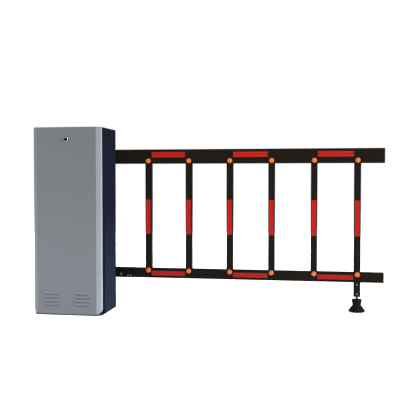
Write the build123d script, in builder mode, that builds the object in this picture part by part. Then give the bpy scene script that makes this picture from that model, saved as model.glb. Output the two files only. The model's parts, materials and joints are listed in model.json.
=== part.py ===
"""Parking barrier gate: a steel cabinet whose gearmotor lifts a folding fence boom.

The origin is on the floor, at the middle of the cabinet's base plate.
X runs along the boom, Y from the cabinet's cover to its back, Z up. Lengths are in millimetres.
The top rail turns with the main shaft, the lower rail turns about a pin straight below the shaft,
and six bars hang between slots in the two rails, so that the fence folds as a parallelogram.
"""

from build123d import *
import os
from math import cos, radians, sin

os.makedirs("parts", exist_ok=True)

# ---------------------------------------------------------------- driving dimensions
# Cabinet
cabinet_width = 375
cabinet_depth = 290
cabinet_height = 1000
sheet = 2
bend_radius = 4
lip_width = 18
base_thickness = 6
base_corner_crop = 22
anchor_spacing_x = 270
anchor_spacing_y = 170
anchor_hole_radius = 7
cable_entry_width = 150
cable_entry_depth = 90

# Front cover
cover_depth = 32
cover_wall = 1.5
cover_bevel_width = 24
cover_bevel_depth = 16
cover_edge_radius = 5
cover_corner_radius = 28
seal_thickness = 2
seal_width = 12
seal_inset = 3
seat_gap = 0.3
louvre_count = 4
louvre_pitch = 20
louvre_length = 78
louvre_height = 9
louvre_rise = 6
louvre_offset = 87
louvre_floor_height = 55
hook_offset = 100
hook_width = 40
hook_depth = 15
hook_thickness = 2.5
hook_reach = 5
hook_setback = 12
hook_play = 4
lock_drop = 65
lock_flange_radius = 12.5
lock_flange_thickness = 3
lock_barrel_width = 17
lock_barrel_length = 29
lock_nut_radius = 14
lock_nut_thickness = 5
lock_plug_radius = 7
keyhole_width = 2.5
keyhole_height = 8
keyhole_depth = 6
cam_arm = 27
cam_half_width = 9
cam_thickness = 2.5
keeper_half_width = 15
keeper_thickness = 2
keeper_gap = 2.5
keeper_clearance = 5

# Drive
shaft_drop = 148
shaft_radius = 20
running_clearance = 0.05
shaft_end_play = 2
seam_gap = 4
fixing_play = 0.3
lift_angle = 80
chassis_plate = 8
chassis_half_width = 131
chassis_web = 6
chassis_rise = 93
bearing_box_depth = 105
bearing_box_drop = 62
chassis_foot = 30
window_width = 160
window_bottom = 330
window_frame = 70
bearing_flange = 100
bearing_flange_thickness = 10
bearing_hub_radius = 36
rear_hub_length = 16
bearing_flange_corner = 18
gearbox_width = 166
gearbox_height = 135
gearbox_depth = 88
gearbox_corner = 12
worm_offset = 55
worm_margin = 43
shaft_engagement = 80
gear_cover_radius = 48
gear_cover_rise = 8
motor_radius = 50
motor_length = 215
motor_flange = 104
motor_flange_thickness = 12
fin_count = 12
fin_height = 6
fin_thickness = 3
fin_inset = 10
fan_cover_length = 42
terminal_box_width = 60
terminal_box_height = 70
terminal_box_rise = 28
rocker_thickness = 10
rocker_hub_radius = 34
rocker_hub_length = 40
rocker_eye_radius = 18
spring_arm = 80
spring_length = 560
spring_radius = 17
spring_offset = 24
spring_pin_radius = 8
spring_eye_radius = 15
spring_eye_thickness = 6
spring_neck = 12
spring_eye_play = 0.4
spring_chassis_gap = 4
anchor_plate_width = 60
anchor_plate_height = 34
anchor_plate = 3
pin_head_radius = 12
pin_head_thickness = 4
stop_arm = 72
stop_arm_half_width = 13
buffer_reach = 58
buffer_width = 24
buffer_height = 20
buffer_shelf = 8
buffer_shelf_width = 36
cam_drum_radius = 36
cam_track_width = 8
cam_drum_gap = 1
cam_notch_depth = 4
cam_notch_width = 12
plunger_width = 6
switch_width = 30
switch_height = 22
switch_thickness = 7.5
switch_shelf = 4
switch_shelf_depth = 28

# Electrics
controller_width = 150
controller_height = 200
controller_depth = 42
controller_lid_thickness = 6
controller_bottom = 300
controller_corner = 5
controller_wall = 3
din_rail_height = 35
din_rail_depth = 7.5
din_rail_length = 150
din_rail_bottom = 200
din_flange = 5
din_sheet = 1.2
terminal_pitch = 8
terminal_count = 9
terminal_height = 45
terminal_depth = 43
breaker_width = 36
breaker_height = 85
breaker_depth = 60
breaker_nose = 16

# Fence
fence_gap = 35
rail_depth = 40
rail_wall = 2.5
rail_edge = 1
top_rail_height = 81
low_rail_height = 54
rail_tail = 80
top_rail_overhang = 140
low_rail_overhang = 138
low_rail_start = 30
end_cap_thickness = 3
end_plug_length = 12
end_cap_relief = 7
bar_count = 6
bar_pitch = 232
first_bar = 367
bar_width = 36
bar_wall = 1.5
bar_edge = 1.5
bar_crop = 10.5
bar_play = 0.5
low_pin_z = 232
pivot_drop = 25
pivot_rise = 16
pivot_bolt_radius = 5
pivot_square = 10
pivot_nut_radius = 9
pivot_nut_height = 6
slot_end_clearance = 4
open_pivot_clearance = 0.3
cap_radius = 14
cap_height = 8
strip_length = 192
strip_thickness = 1
top_strip_width = 31
low_strip_width = 26
bar_strip_width = 28
top_strip_rise = 10
bar_strip_length = 194
bar_strip_drop = 218

# Boom holder and lower pivot
holder_plate = 14
holder_left = 75
holder_right = 95
holder_jaw = 12
holder_corner = 6
clamp_plate_thickness = 8
clamp_head_radius = 6.5
clamp_head_height = 7
clamp_bolt_inset = 25
cheek_thickness = 4
cheek_reach = 281
cheek_tail = 24
low_boss_radius = 20
low_pin_radius = 9
low_plate = 6
low_plate_width = 90
low_plate_height = 100
low_plate_corner = 8
low_collar_radius = 20
low_nut_radius = 16
low_nut_height = 10
low_pin_end = 3
bracket_bolt_offset = 206
bracket_bolt_drop = 8
bracket_bolt_radius = 7.5
bracket_screw_offset = 247
bracket_screw_pitch = 17
bracket_screw_drop = 14
bracket_screw_radius = 4
bracket_head_height = 3

# Leg and foot
leg_width = 35.5
leg_wall = 3
leg_gap = 15
foot_height = 70
foot_radius = 46
foot_rim_height = 10
foot_skirt_height = 38
foot_collar_radius = 25.5
foot_rod_radius = 6
foot_rod_length = 112
foot_socket_depth = 30
insert_length = 30

# ---------------------------------------------------------------- places worked out from them
front_y = -cabinet_depth / 2
back_y = cabinet_depth / 2
side_x = cabinet_width / 2
inner_x = side_x - sheet
inner_back_y = back_y - sheet
seam_y = front_y + cover_depth + seat_gap + seal_thickness
cover_rear_y = front_y + cover_depth
cover_bottom = base_thickness + seat_gap
cover_height = cabinet_height - cover_bottom

lock_height = cabinet_height - lock_drop
shaft_height = cabinet_height - shaft_drop
chassis_top = shaft_height + chassis_rise
bearing_box_bottom = shaft_height - bearing_box_drop
pivot_spacing = shaft_height - low_pin_z

rail_front_y = back_y + fence_gap
rail_rear_y = rail_front_y + rail_depth
fence_y = rail_front_y + rail_depth / 2
top_pivot_z = shaft_height - pivot_drop
low_pivot_z = top_pivot_z - pivot_spacing
low_rail_z = low_pivot_z - pivot_rise
bar_end_radius = bar_width / 2
slot_depth = bar_end_radius + slot_end_clearance
bar_places = [first_bar + bar_pitch * number for number in range(bar_count)]
top_rail_reach = bar_places[-1] + top_rail_overhang
low_rail_reach = bar_places[-1] + low_rail_overhang
strip_places = [x + bar_pitch / 2 for x in bar_places[::2]]

chassis_back_y = inner_back_y
chassis_face_y = chassis_back_y - chassis_plate
bearing_plate_rear_y = chassis_back_y - bearing_box_depth
bearing_plate_front_y = bearing_plate_rear_y - chassis_plate
gearbox_front_y = bearing_plate_front_y - gearbox_depth
rocker_y = chassis_face_y - (spring_offset + spring_radius) - spring_chassis_gap
spring_ys = [rocker_y - spring_offset, rocker_y + spring_offset]
anchor_z = shaft_height - spring_length
hook_y = front_y + hook_setback
switch_plunger_low_z = shaft_height + cam_drum_radius + seat_gap
switch_low_z = shaft_height + bearing_flange / 2 + fixing_play
switch_top_z = switch_low_z + switch_height


def upright(y, z=0, x=0, turn=0):
    """Upright plane facing the front at depth y; sketch x runs along X and sketch y along Z."""
    along = (cos(radians(turn)), 0, sin(radians(turn)))
    return Plane(origin=(x, y, z), x_dir=along, z_dir=(0, -1, 0))


# ================================================================ cabinet
with BuildPart() as base_plate:
    with BuildSketch(Plane.XY) as base_outline:
        with Locations((0, front_y)):
            Rectangle(2 * inner_x, inner_back_y - front_y, align=(Align.CENTER, Align.MIN))
        chamfer(base_outline.vertices().group_by(Axis.Y)[0], length=base_corner_crop)
        Rectangle(cable_entry_width, cable_entry_depth, mode=Mode.SUBTRACT)
        with GridLocations(anchor_spacing_x, anchor_spacing_y, 2, 2):
            Circle(anchor_hole_radius, mode=Mode.SUBTRACT)
        with Locations((-hook_offset, hook_y), (hook_offset, hook_y)):
            Rectangle(hook_width + 2 * hook_play, hook_thickness + 2 * hook_play, mode=Mode.SUBTRACT)
    extrude(amount=base_thickness)
base_plate.part.label = "base_plate"
export_step(base_plate.part, "parts/base_plate.step")

# Folded sheet body: two sides, back and top, with a lip round the front opening.
with BuildPart() as cabinet_housing:
    with BuildSketch(Plane.XY):
        with Locations((0, seam_y)):
            Rectangle(cabinet_width, back_y - seam_y, align=(Align.CENTER, Align.MIN))
    extrude(amount=cabinet_height)
    fillet(cabinet_housing.edges().filter_by(Axis.Z).group_by(Axis.Y)[-1], radius=bend_radius)
    with BuildSketch(Plane.XY):
        with Locations((0, seam_y + sheet)):
            Rectangle(2 * inner_x, inner_back_y - seam_y - sheet, align=(Align.CENTER, Align.MIN))
    extrude(amount=cabinet_height - sheet, mode=Mode.SUBTRACT)
    with BuildSketch(upright(seam_y + sheet)):
        Rectangle(2 * inner_x, base_thickness, align=(Align.CENTER, Align.MIN))
        with Locations((0, base_thickness + lip_width)):
            Rectangle(
                2 * (inner_x - lip_width),
                cabinet_height - sheet - base_thickness - 2 * lip_width,
                align=(Align.CENTER, Align.MIN),
            )
    extrude(amount=sheet, mode=Mode.SUBTRACT)
    with BuildSketch(upright(back_y, shaft_height)):
        Circle(shaft_radius + seam_gap)
    extrude(amount=sheet, mode=Mode.SUBTRACT)
cabinet_housing.part.label = "cabinet_housing"
export_step(cabinet_housing.part, "parts/cabinet_housing.step")

# Rubber seal that the cover's rim closes against.
with BuildPart() as cover_seal:
    with BuildSketch(upright(seam_y)):
        with Locations((0, base_thickness + seal_inset)):
            Rectangle(
                2 * inner_x - 2 * seal_inset,
                cabinet_height - base_thickness - sheet - 2 * seal_inset,
                align=(Align.CENTER, Align.MIN),
            )
        with Locations((0, base_thickness + seal_inset + seal_width)):
            Rectangle(
                2 * (inner_x - seal_inset - seal_width),
                cabinet_height - base_thickness - sheet - 2 * (seal_inset + seal_width),
                align=(Align.CENTER, Align.MIN),
                mode=Mode.SUBTRACT,
            )
    extrude(amount=seal_thickness)
cover_seal.part.label = "cover_seal"
export_step(cover_seal.part, "parts/cover_seal.step")

# Z-shaped keeper: fixed behind the upper lip, its tab hangs inside the cover for the lock's cam.
lip_rear_y = seam_y + sheet
lip_low_z = cabinet_height - sheet - lip_width
lock_front_y = front_y - lock_flange_thickness
cam_front_y = front_y + lock_barrel_length + running_clearance
keeper_rear_y = cam_front_y - keeper_gap
keeper_low_z = lock_height + lock_flange_radius + keeper_clearance
with BuildPart() as cover_keeper:
    with BuildSketch(Plane.YZ):
        with BuildLine():
            Polyline(
                (lip_rear_y, lip_low_z + lip_width),
                (lip_rear_y + keeper_thickness, lip_low_z + lip_width),
                (lip_rear_y + keeper_thickness, lip_low_z - keeper_clearance - keeper_thickness),
                (keeper_rear_y, lip_low_z - keeper_clearance - keeper_thickness),
                (keeper_rear_y, keeper_low_z),
                (keeper_rear_y - keeper_thickness, keeper_low_z),
                (keeper_rear_y - keeper_thickness, lip_low_z - keeper_clearance),
                (lip_rear_y, lip_low_z - keeper_clearance),
                close=True,
            )
        make_face()
    extrude(amount=keeper_half_width, both=True)
cover_keeper.part.label = "cover_keeper"
export_step(cover_keeper.part, "parts/cover_keeper.step")

# ================================================================ front cover
# Tray-shaped cover: flat face, bevelled long edges, rounded lower corners, pressed louvres.
cover_flat_half = side_x - cover_bevel_width
louvre_rows = [louvre_floor_height + louvre_pitch * row for row in range(louvre_count)]
with BuildPart() as front_cover:
    with BuildSketch(Plane.XY.offset(cover_bottom)):
        with BuildLine():
            Polyline(
                (-side_x, cover_rear_y),
                (-side_x, front_y + cover_bevel_depth),
                (-cover_flat_half, front_y),
                (cover_flat_half, front_y),
                (side_x, front_y + cover_bevel_depth),
                (side_x, cover_rear_y),
                close=True,
            )
        make_face()
    extrude(amount=cover_height)
    upright_edges = front_cover.edges().filter_by(Axis.Z)
    fillet(upright_edges.filter_by(lambda edge: edge.center().Y < cover_rear_y - 1), radius=cover_edge_radius)
    with BuildSketch(upright(cover_rear_y, cover_bottom)) as cover_outline:
        Rectangle(cabinet_width, cover_height, align=(Align.CENTER, Align.MIN))
        fillet(cover_outline.vertices().group_by(Axis.Y)[0], radius=cover_corner_radius)
    extrude(amount=cover_depth, mode=Mode.INTERSECT)
    offset(amount=-cover_wall, openings=front_cover.faces().sort_by(Axis.Y)[-1])
    # Each louvre is a hood pressed out of the sheet, open on its lower side.
    for centre_x in (-louvre_offset, louvre_offset):
        for row_z in louvre_rows:
            with BuildSketch(Plane.YZ.offset(centre_x)):
                with BuildLine():
                    Polyline(
                        (front_y, row_z + louvre_height),
                        (front_y - louvre_rise, row_z),
                        (front_y, row_z),
                        close=True,
                    )
                make_face()
            extrude(amount=louvre_length / 2, both=True)
            with BuildSketch(Plane.YZ.offset(centre_x)):
                with BuildLine():
                    Polyline(
                        (front_y + cover_wall, row_z + louvre_height),
                        (front_y + cover_wall - louvre_rise, row_z),
                        (front_y + cover_wall, row_z),
                        close=True,
                    )
                make_face()
            extrude(amount=louvre_length / 2 - cover_wall, both=True, mode=Mode.SUBTRACT)
    with BuildSketch(Plane.XY.offset(cover_bottom)):
        with Locations((-hook_offset, hook_y), (hook_offset, hook_y)):
            Rectangle(hook_width + 2 * fixing_play, hook_thickness + 2 * fixing_play)
    extrude(amount=cover_wall, mode=Mode.SUBTRACT)
    with BuildSketch(upright(front_y + cover_wall, lock_height)):
        Rectangle(lock_barrel_width + 2 * fixing_play, lock_barrel_width + 2 * fixing_play)
    extrude(amount=cover_wall, mode=Mode.SUBTRACT)
front_cover.part.label = "front_cover"
export_step(front_cover.part, "parts/front_cover.step")

# Two angle hooks stand on the cover's lower flange and drop into slots in the base plate.
flange_top = cover_bottom + cover_wall
with BuildPart() as cover_hooks:
    for centre_x in (-hook_offset, hook_offset):
        with BuildSketch(Plane.YZ.offset(centre_x)):
            with BuildLine():
                Polyline(
                    (hook_y - hook_thickness / 2, cover_bottom - hook_reach),
                    (hook_y + hook_thickness / 2, cover_bottom - hook_reach),
                    (hook_y + hook_thickness / 2, flange_top),
                    (hook_y + hook_depth, flange_top),
                    (hook_y + hook_depth, flange_top + hook_thickness),
                    (hook_y - hook_thickness / 2, flange_top + hook_thickness),
                    close=True,
                )
            make_face()
        extrude(amount=hook_width / 2, both=True)
cover_hooks.part.label = "cover_hooks"
export_step(cover_hooks.part, "parts/cover_hooks.step")

# Cam lock: square barrel with a round flange and a nut, a plug with a keyhole, and the cam.
with BuildPart() as lock_barrel:
    with BuildSketch(upright(front_y, lock_height)):
        Circle(lock_flange_radius)
    extrude(amount=lock_flange_thickness)
    with BuildSketch(upright(front_y + lock_barrel_length, lock_height)):
        Rectangle(lock_barrel_width, lock_barrel_width)
    extrude(amount=lock_barrel_length)
    with BuildSketch(upright(front_y + cover_wall + lock_nut_thickness, lock_height)):
        RegularPolygon(lock_nut_radius, 6)
    extrude(amount=lock_nut_thickness)
    with BuildSketch(upright(front_y + lock_barrel_length, lock_height)):
        Circle(lock_plug_radius + running_clearance)
    extrude(amount=lock_barrel_length + lock_flange_thickness, mode=Mode.SUBTRACT)
lock_barrel.part.label = "lock_barrel"
export_step(lock_barrel.part, "parts/lock_barrel.step")

plug_rear_y = cam_front_y + cam_thickness
with BuildPart() as lock_plug:
    with BuildSketch(upright(cam_front_y, lock_height)):
        Circle(lock_plug_radius)
    extrude(amount=cam_front_y - lock_front_y)
    with BuildSketch(upright(lock_front_y + keyhole_depth, lock_height)):
        Rectangle(keyhole_width, keyhole_height)
    extrude(amount=keyhole_depth, mode=Mode.SUBTRACT)
lock_plug.part.label = "lock_plug"
export_step(lock_plug.part, "parts/lock_plug.step")

with BuildPart() as lock_cam:
    with BuildSketch(upright(plug_rear_y, lock_height)) as cam_outline:
        with Locations((cam_arm / 2, 0)):
            Rectangle(cam_arm + 2 * cam_half_width, 2 * cam_half_width)
        chamfer(cam_outline.vertices(), length=cam_half_width / 2)
    extrude(amount=cam_thickness)
lock_cam.part.label = "lock_cam"
export_step(lock_cam.part, "parts/lock_cam.step")

# ================================================================ chassis and bearings
# Welded chassis: tall back plate, box for the two bearings, shelves for the stops and switches.
with BuildPart() as chassis_frame:
    with BuildSketch(upright(chassis_back_y, base_thickness)) as back_plate_outline:
        Rectangle(2 * chassis_half_width, chassis_top - base_thickness, align=(Align.CENTER, Align.MIN))
        with Locations((0, window_bottom - base_thickness)):
            Rectangle(
                window_width,
                bearing_box_bottom - window_frame - window_bottom,
                align=(Align.CENTER, Align.MIN),
                mode=Mode.SUBTRACT,
            )
    extrude(amount=chassis_plate)
    with BuildSketch(upright(bearing_plate_rear_y, bearing_box_bottom)):
        Rectangle(2 * chassis_half_width, chassis_top - bearing_box_bottom, align=(Align.CENTER, Align.MIN))
    extrude(amount=chassis_plate)
    with BuildSketch(upright(chassis_face_y, bearing_box_bottom)):
        with Locations((-chassis_half_width + chassis_web / 2, 0), (chassis_half_width - chassis_web / 2, 0)):
            Rectangle(chassis_web, chassis_top - bearing_box_bottom, align=(Align.CENTER, Align.MIN))
    extrude(amount=chassis_face_y - bearing_plate_rear_y)
    with BuildSketch(Plane.XY.offset(base_thickness)):
        with Locations((0, chassis_face_y)):
            Rectangle(2 * chassis_half_width, chassis_foot, align=(Align.CENTER, Align.MAX))
    extrude(amount=chassis_plate)
    for turn, side in ((0, -1), (lift_angle, 1)):
        with BuildSketch(upright(chassis_face_y, shaft_height, turn=turn)):
            shelf_middle = stop_arm_half_width + seat_gap + buffer_height + buffer_shelf / 2
            with Locations((buffer_reach, side * shelf_middle)):
                Rectangle(buffer_shelf_width, buffer_shelf)
        extrude(amount=chassis_face_y - rocker_y + buffer_width / 2 + fixing_play)
    with BuildSketch(upright(bearing_plate_rear_y + switch_shelf_depth, switch_top_z)):
        Rectangle(switch_width, switch_shelf, align=(Align.CENTER, Align.MIN))
    extrude(amount=switch_shelf_depth)
    with BuildSketch(upright(chassis_back_y, shaft_height)):
        Circle(shaft_radius + seam_gap)
    extrude(amount=chassis_back_y - bearing_plate_front_y, mode=Mode.SUBTRACT)
chassis_frame.part.label = "chassis_frame"
export_step(chassis_frame.part, "parts/chassis_frame.step")

# Flanged bearings: one outside the cabinet's back, one inside on the bearing plate.
with BuildPart() as rear_bearing:
    with BuildSketch(upright(back_y + bearing_flange_thickness, shaft_height)) as flange_outline:
        Rectangle(bearing_flange, bearing_flange)
        chamfer(flange_outline.vertices(), length=bearing_flange_corner)
    extrude(amount=bearing_flange_thickness)
    with BuildSketch(upright(back_y + rear_hub_length, shaft_height)):
        Circle(bearing_hub_radius)
    extrude(amount=rear_hub_length)
    with BuildSketch(upright(back_y + rear_hub_length, shaft_height)):
        Circle(shaft_radius + running_clearance)
    extrude(amount=rear_hub_length, mode=Mode.SUBTRACT)
rear_bearing.part.label = "rear_bearing"
export_step(rear_bearing.part, "parts/rear_bearing.step")

with BuildPart() as front_bearing:
    front_flange_rear_y = bearing_plate_rear_y + bearing_flange_thickness
    with BuildSketch(upright(front_flange_rear_y, shaft_height)) as flange_outline:
        Rectangle(bearing_flange, bearing_flange)
        chamfer(flange_outline.vertices(), length=bearing_flange_corner)
    extrude(amount=bearing_flange_thickness)
    with BuildSketch(upright(front_flange_rear_y, shaft_height)):
        Circle(shaft_radius + running_clearance)
    extrude(amount=bearing_flange_thickness, mode=Mode.SUBTRACT)
front_bearing.part.label = "front_bearing"
export_step(front_bearing.part, "parts/front_bearing.step")

# Rubber blocks that the rocker's stop arm meets at the closed and the lifted position.
with BuildPart() as stop_buffers:
    for turn, side in ((0, -1), (lift_angle, 1)):
        along = Vector(cos(radians(turn)), 0, sin(radians(turn)))
        away = Vector(-sin(radians(turn)), 0, cos(radians(turn))) * side
        seat = Vector(0, rocker_y, shaft_height) + along * buffer_reach
        seat += away * (stop_arm_half_width + seat_gap)
        with BuildSketch(Plane(origin=seat, x_dir=along, z_dir=away)):
            Rectangle(buffer_width, buffer_width)
        extrude(amount=buffer_height)
stop_buffers.part.label = "stop_buffers"
export_step(stop_buffers.part, "parts/stop_buffers.step")

# ================================================================ gearmotor
gearbox_x = worm_offset - gearbox_width / 2 + worm_margin
with BuildPart() as gearbox_housing:
    with BuildSketch(upright(bearing_plate_front_y, shaft_height)) as gearbox_outline:
        with Locations((gearbox_x, 0)):
            Rectangle(gearbox_width, gearbox_height)
        chamfer(gearbox_outline.vertices(), length=gearbox_corner)
    extrude(amount=gearbox_depth)
    with BuildSketch(upright(gearbox_front_y, shaft_height)):
        Circle(gear_cover_radius)
    extrude(amount=gear_cover_rise)
    with BuildSketch(upright(bearing_plate_front_y, shaft_height)):
        Circle(shaft_radius + running_clearance)
    extrude(amount=shaft_engagement, mode=Mode.SUBTRACT)
gearbox_housing.part.label = "gearbox_housing"
export_step(gearbox_housing.part, "parts/gearbox_housing.step")

motor_y = bearing_plate_front_y - gearbox_depth / 2
motor_top_z = shaft_height - gearbox_height / 2
motor_bottom_z = motor_top_z - motor_length
with BuildPart() as motor_housing:
    with BuildSketch(Plane.XY.offset(motor_bottom_z)):
        with Locations((worm_offset, motor_y)):
            Circle(motor_radius)
    extrude(amount=motor_length)
    with BuildSketch(Plane.XY.offset(motor_top_z - motor_flange_thickness)):
        with Locations((worm_offset, motor_y)):
            Rectangle(motor_flange, motor_flange)
    extrude(amount=motor_flange_thickness)
    # Cooling fins stand round the barrel.
    with BuildSketch(Plane.XY.offset(motor_bottom_z + fin_inset)):
        with Locations((worm_offset, motor_y)):
            with PolarLocations(motor_radius, fin_count):
                Rectangle(2 * fin_height, fin_thickness)
    extrude(amount=motor_length - motor_flange_thickness - 2 * fin_inset)
    with BuildSketch(Plane.YZ.offset(worm_offset)):
        with Locations((motor_y, motor_bottom_z + motor_length / 2)):
            Rectangle(terminal_box_width, terminal_box_height)
    extrude(amount=motor_radius + terminal_box_rise)
motor_housing.part.label = "motor_housing"
export_step(motor_housing.part, "parts/motor_housing.step")

with BuildPart() as motor_fan_cover:
    with BuildSketch(Plane.XY.offset(motor_bottom_z - fan_cover_length)):
        with Locations((worm_offset, motor_y)):
            Circle(motor_radius + fin_height)
    extrude(amount=fan_cover_length)
motor_fan_cover.part.label = "motor_fan_cover"
export_step(motor_fan_cover.part, "parts/motor_fan_cover.step")

# ================================================================ shaft, rocker, balance springs
shaft_front_y = bearing_plate_front_y - shaft_engagement + shaft_end_play
with BuildPart() as main_shaft:
    with BuildSketch(upright(rail_front_y, shaft_height)):
        Circle(shaft_radius)
    extrude(amount=rail_front_y - shaft_front_y)
main_shaft.part.label = "main_shaft"
export_step(main_shaft.part, "parts/main_shaft.step")

# Rocker keyed to the shaft: one arm pulls on the springs, the other meets the stop buffers.
with BuildPart() as rocker_arm:
    with BuildSketch(upright(rocker_y + rocker_thickness / 2, shaft_height)):
        RegularPolygon(rocker_hub_radius, 8, major_radius=False)
        with BuildLine():
            Polyline(
                (0, rocker_hub_radius),
                (-spring_arm, rocker_eye_radius),
                (-spring_arm - rocker_eye_radius, rocker_eye_radius / 2),
                (-spring_arm - rocker_eye_radius, -rocker_eye_radius / 2),
                (-spring_arm, -rocker_eye_radius),
                (0, -rocker_hub_radius),
                close=True,
            )
        make_face()
        Rectangle(stop_arm, 2 * stop_arm_half_width, align=(Align.MIN, Align.CENTER))
    extrude(amount=rocker_thickness)
    with BuildSketch(upright(rocker_y + rocker_hub_length / 2, shaft_height)):
        RegularPolygon(rocker_hub_radius, 8, major_radius=False)
    extrude(amount=rocker_hub_length)
    with BuildSketch(upright(spring_ys[1] + spring_eye_thickness, shaft_height)):
        with Locations((-spring_arm, 0)):
            Circle(spring_pin_radius)
    extrude(amount=2 * (spring_offset + spring_eye_thickness))
    with BuildSketch(upright(rocker_y + rocker_hub_length / 2, shaft_height)):
        Circle(shaft_radius + running_clearance)
    extrude(amount=rocker_hub_length, mode=Mode.SUBTRACT)
rocker_arm.part.label = "rocker_arm"
export_step(rocker_arm.part, "parts/rocker_arm.step")

# One drum on the shaft works both end switches, each through a notch at its own angle.
cam_front_face = bearing_plate_rear_y + bearing_flange_thickness + cam_drum_gap
cam_drum_length = 2 * cam_track_width
with BuildPart() as limit_cam:
    with BuildSketch(upright(cam_front_face + cam_drum_length, shaft_height)):
        Circle(cam_drum_radius)
        Circle(shaft_radius + running_clearance, mode=Mode.SUBTRACT)
    extrude(amount=cam_drum_length)
    for track, notch_turn in enumerate((0, lift_angle)):
        track_rear_y = cam_front_face + (track + 1) * cam_track_width
        with BuildSketch(upright(track_rear_y, shaft_height, turn=90 - notch_turn)):
            with Locations((cam_drum_radius, 0)):
                Rectangle(2 * cam_notch_depth, cam_notch_width)
        extrude(amount=cam_track_width, mode=Mode.SUBTRACT)
limit_cam.part.label = "limit_cam"
export_step(limit_cam.part, "parts/limit_cam.step")

with BuildPart() as limit_switches:
    for number in range(2):
        switch_rear_y = cam_front_face + (number + 1) * cam_track_width
        with BuildSketch(upright(switch_rear_y, switch_low_z)):
            Rectangle(switch_width, switch_height, align=(Align.CENTER, Align.MIN))
        extrude(amount=switch_thickness)
        with BuildSketch(upright(switch_rear_y - switch_thickness / 4, switch_low_z)):
            Rectangle(plunger_width, switch_low_z - switch_plunger_low_z, align=(Align.CENTER, Align.MAX))
        extrude(amount=switch_thickness / 2)
limit_switches.part.label = "limit_switches"
export_step(limit_switches.part, "parts/limit_switches.step")

# Fixed pin on the chassis that anchors the lower spring eyes.
anchor_tip_y = spring_ys[0] - spring_eye_thickness
with BuildPart() as spring_anchor:
    with BuildSketch(upright(chassis_face_y, anchor_z)):
        with Locations((-spring_arm, 0)):
            Rectangle(anchor_plate_width, anchor_plate_height)
    extrude(amount=anchor_plate)
    with BuildSketch(upright(chassis_face_y, anchor_z)):
        with Locations((-spring_arm, 0)):
            Circle(spring_pin_radius)
    extrude(amount=chassis_face_y - anchor_tip_y)
    with BuildSketch(upright(anchor_tip_y, anchor_z)):
        with Locations((-spring_arm, 0)):
            RegularPolygon(pin_head_radius, 6)
    extrude(amount=pin_head_thickness)
spring_anchor.part.label = "spring_anchor"
export_step(spring_anchor.part, "parts/spring_anchor.step")

# Tension springs: the closed-wound coil as a plain rod, with a flat eye at each end.
coil_start = anchor_z + spring_eye_radius + spring_neck
coil_end = shaft_height - spring_eye_radius - spring_neck
with BuildPart() as balance_springs:
    for spring_y in spring_ys:
        with BuildSketch(Plane.XY.offset(coil_start)):
            with Locations((-spring_arm, spring_y)):
                Circle(spring_radius)
        extrude(amount=coil_end - coil_start)
        for eye_z, neck in ((anchor_z, 1), (shaft_height, -1)):
            with BuildSketch(upright(spring_y + spring_eye_thickness / 2, eye_z, -spring_arm)) as eye:
                Rectangle(2 * spring_eye_radius, 2 * spring_eye_radius)
                chamfer(eye.vertices(), length=spring_eye_radius / 2)
                with Locations((0, neck * (spring_eye_radius + spring_neck) / 2)):
                    Rectangle(spring_eye_thickness, spring_eye_radius + spring_neck)
                RegularPolygon(
                    spring_pin_radius + spring_eye_play, 12, major_radius=False, mode=Mode.SUBTRACT
                )
            extrude(amount=spring_eye_thickness)
balance_springs.part.label = "balance_springs"
export_step(balance_springs.part, "parts/balance_springs.step")

# ================================================================ electrics on the right-hand wall
def on_wall(stand_off=0):
    """Plane parallel to the right-hand wall, facing into the cabinet; sketch x runs to the front."""
    return Plane(origin=(inner_x - stand_off, 0, 0), x_dir=(0, -1, 0), z_dir=(-1, 0, 0))


with BuildPart() as controller_box:
    with BuildSketch(on_wall()):
        with Locations((0, controller_bottom)):
            Rectangle(controller_width, controller_height, align=(Align.CENTER, Align.MIN))
    extrude(amount=controller_depth)
    chamfer(controller_box.edges().filter_by(Axis.X), length=controller_corner)
    offset(amount=-controller_wall, openings=controller_box.faces().sort_by(Axis.X)[0])
controller_box.part.label = "controller_box"
export_step(controller_box.part, "parts/controller_box.step")

with BuildPart() as controller_lid:
    with BuildSketch(on_wall(controller_depth)):
        with Locations((0, controller_bottom)):
            Rectangle(controller_width, controller_height, align=(Align.CENTER, Align.MIN))
    extrude(amount=controller_lid_thickness)
    chamfer(controller_lid.edges().filter_by(Axis.X), length=controller_corner)
    chamfer(controller_lid.faces().sort_by(Axis.X)[0].edges(), length=controller_wall / 2)
controller_lid.part.label = "controller_lid"
export_step(controller_lid.part, "parts/controller_lid.step")

# Top-hat rail with the terminals and the breaker clipped on it.
with BuildPart() as din_rail:
    with BuildSketch(Plane.XZ.offset(-din_rail_length / 2)):
        with BuildLine():
            rail_x = inner_x - din_rail_depth
            low, high = din_rail_bottom, din_rail_bottom + din_rail_height
            Polyline(
                (inner_x, low + din_flange),
                (inner_x, high - din_flange),
                (rail_x + din_sheet, high - din_flange),
                (rail_x + din_sheet, high),
                (rail_x, high),
                (rail_x, high - din_flange - din_sheet),
                (inner_x - din_sheet, high - din_flange - din_sheet),
                (inner_x - din_sheet, low + din_flange + din_sheet),
                (rail_x, low + din_flange + din_sheet),
                (rail_x, low),
                (rail_x + din_sheet, low),
                (rail_x + din_sheet, low + din_flange),
                close=True,
            )
        make_face()
    extrude(amount=din_rail_length)
din_rail.part.label = "din_rail"
export_step(din_rail.part, "parts/din_rail.step")

din_middle_z = din_rail_bottom + din_rail_height / 2
with BuildPart() as terminal_blocks:
    for number in range(terminal_count):
        block_middle = terminal_pitch * (number + 1 / 2)
        with BuildSketch(on_wall(din_rail_depth)):
            with Locations((block_middle, din_middle_z)):
                Rectangle(terminal_pitch - fixing_play, terminal_height)
        extrude(amount=terminal_depth)
terminal_blocks.part.label = "terminal_blocks"
export_step(terminal_blocks.part, "parts/terminal_blocks.step")

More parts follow.
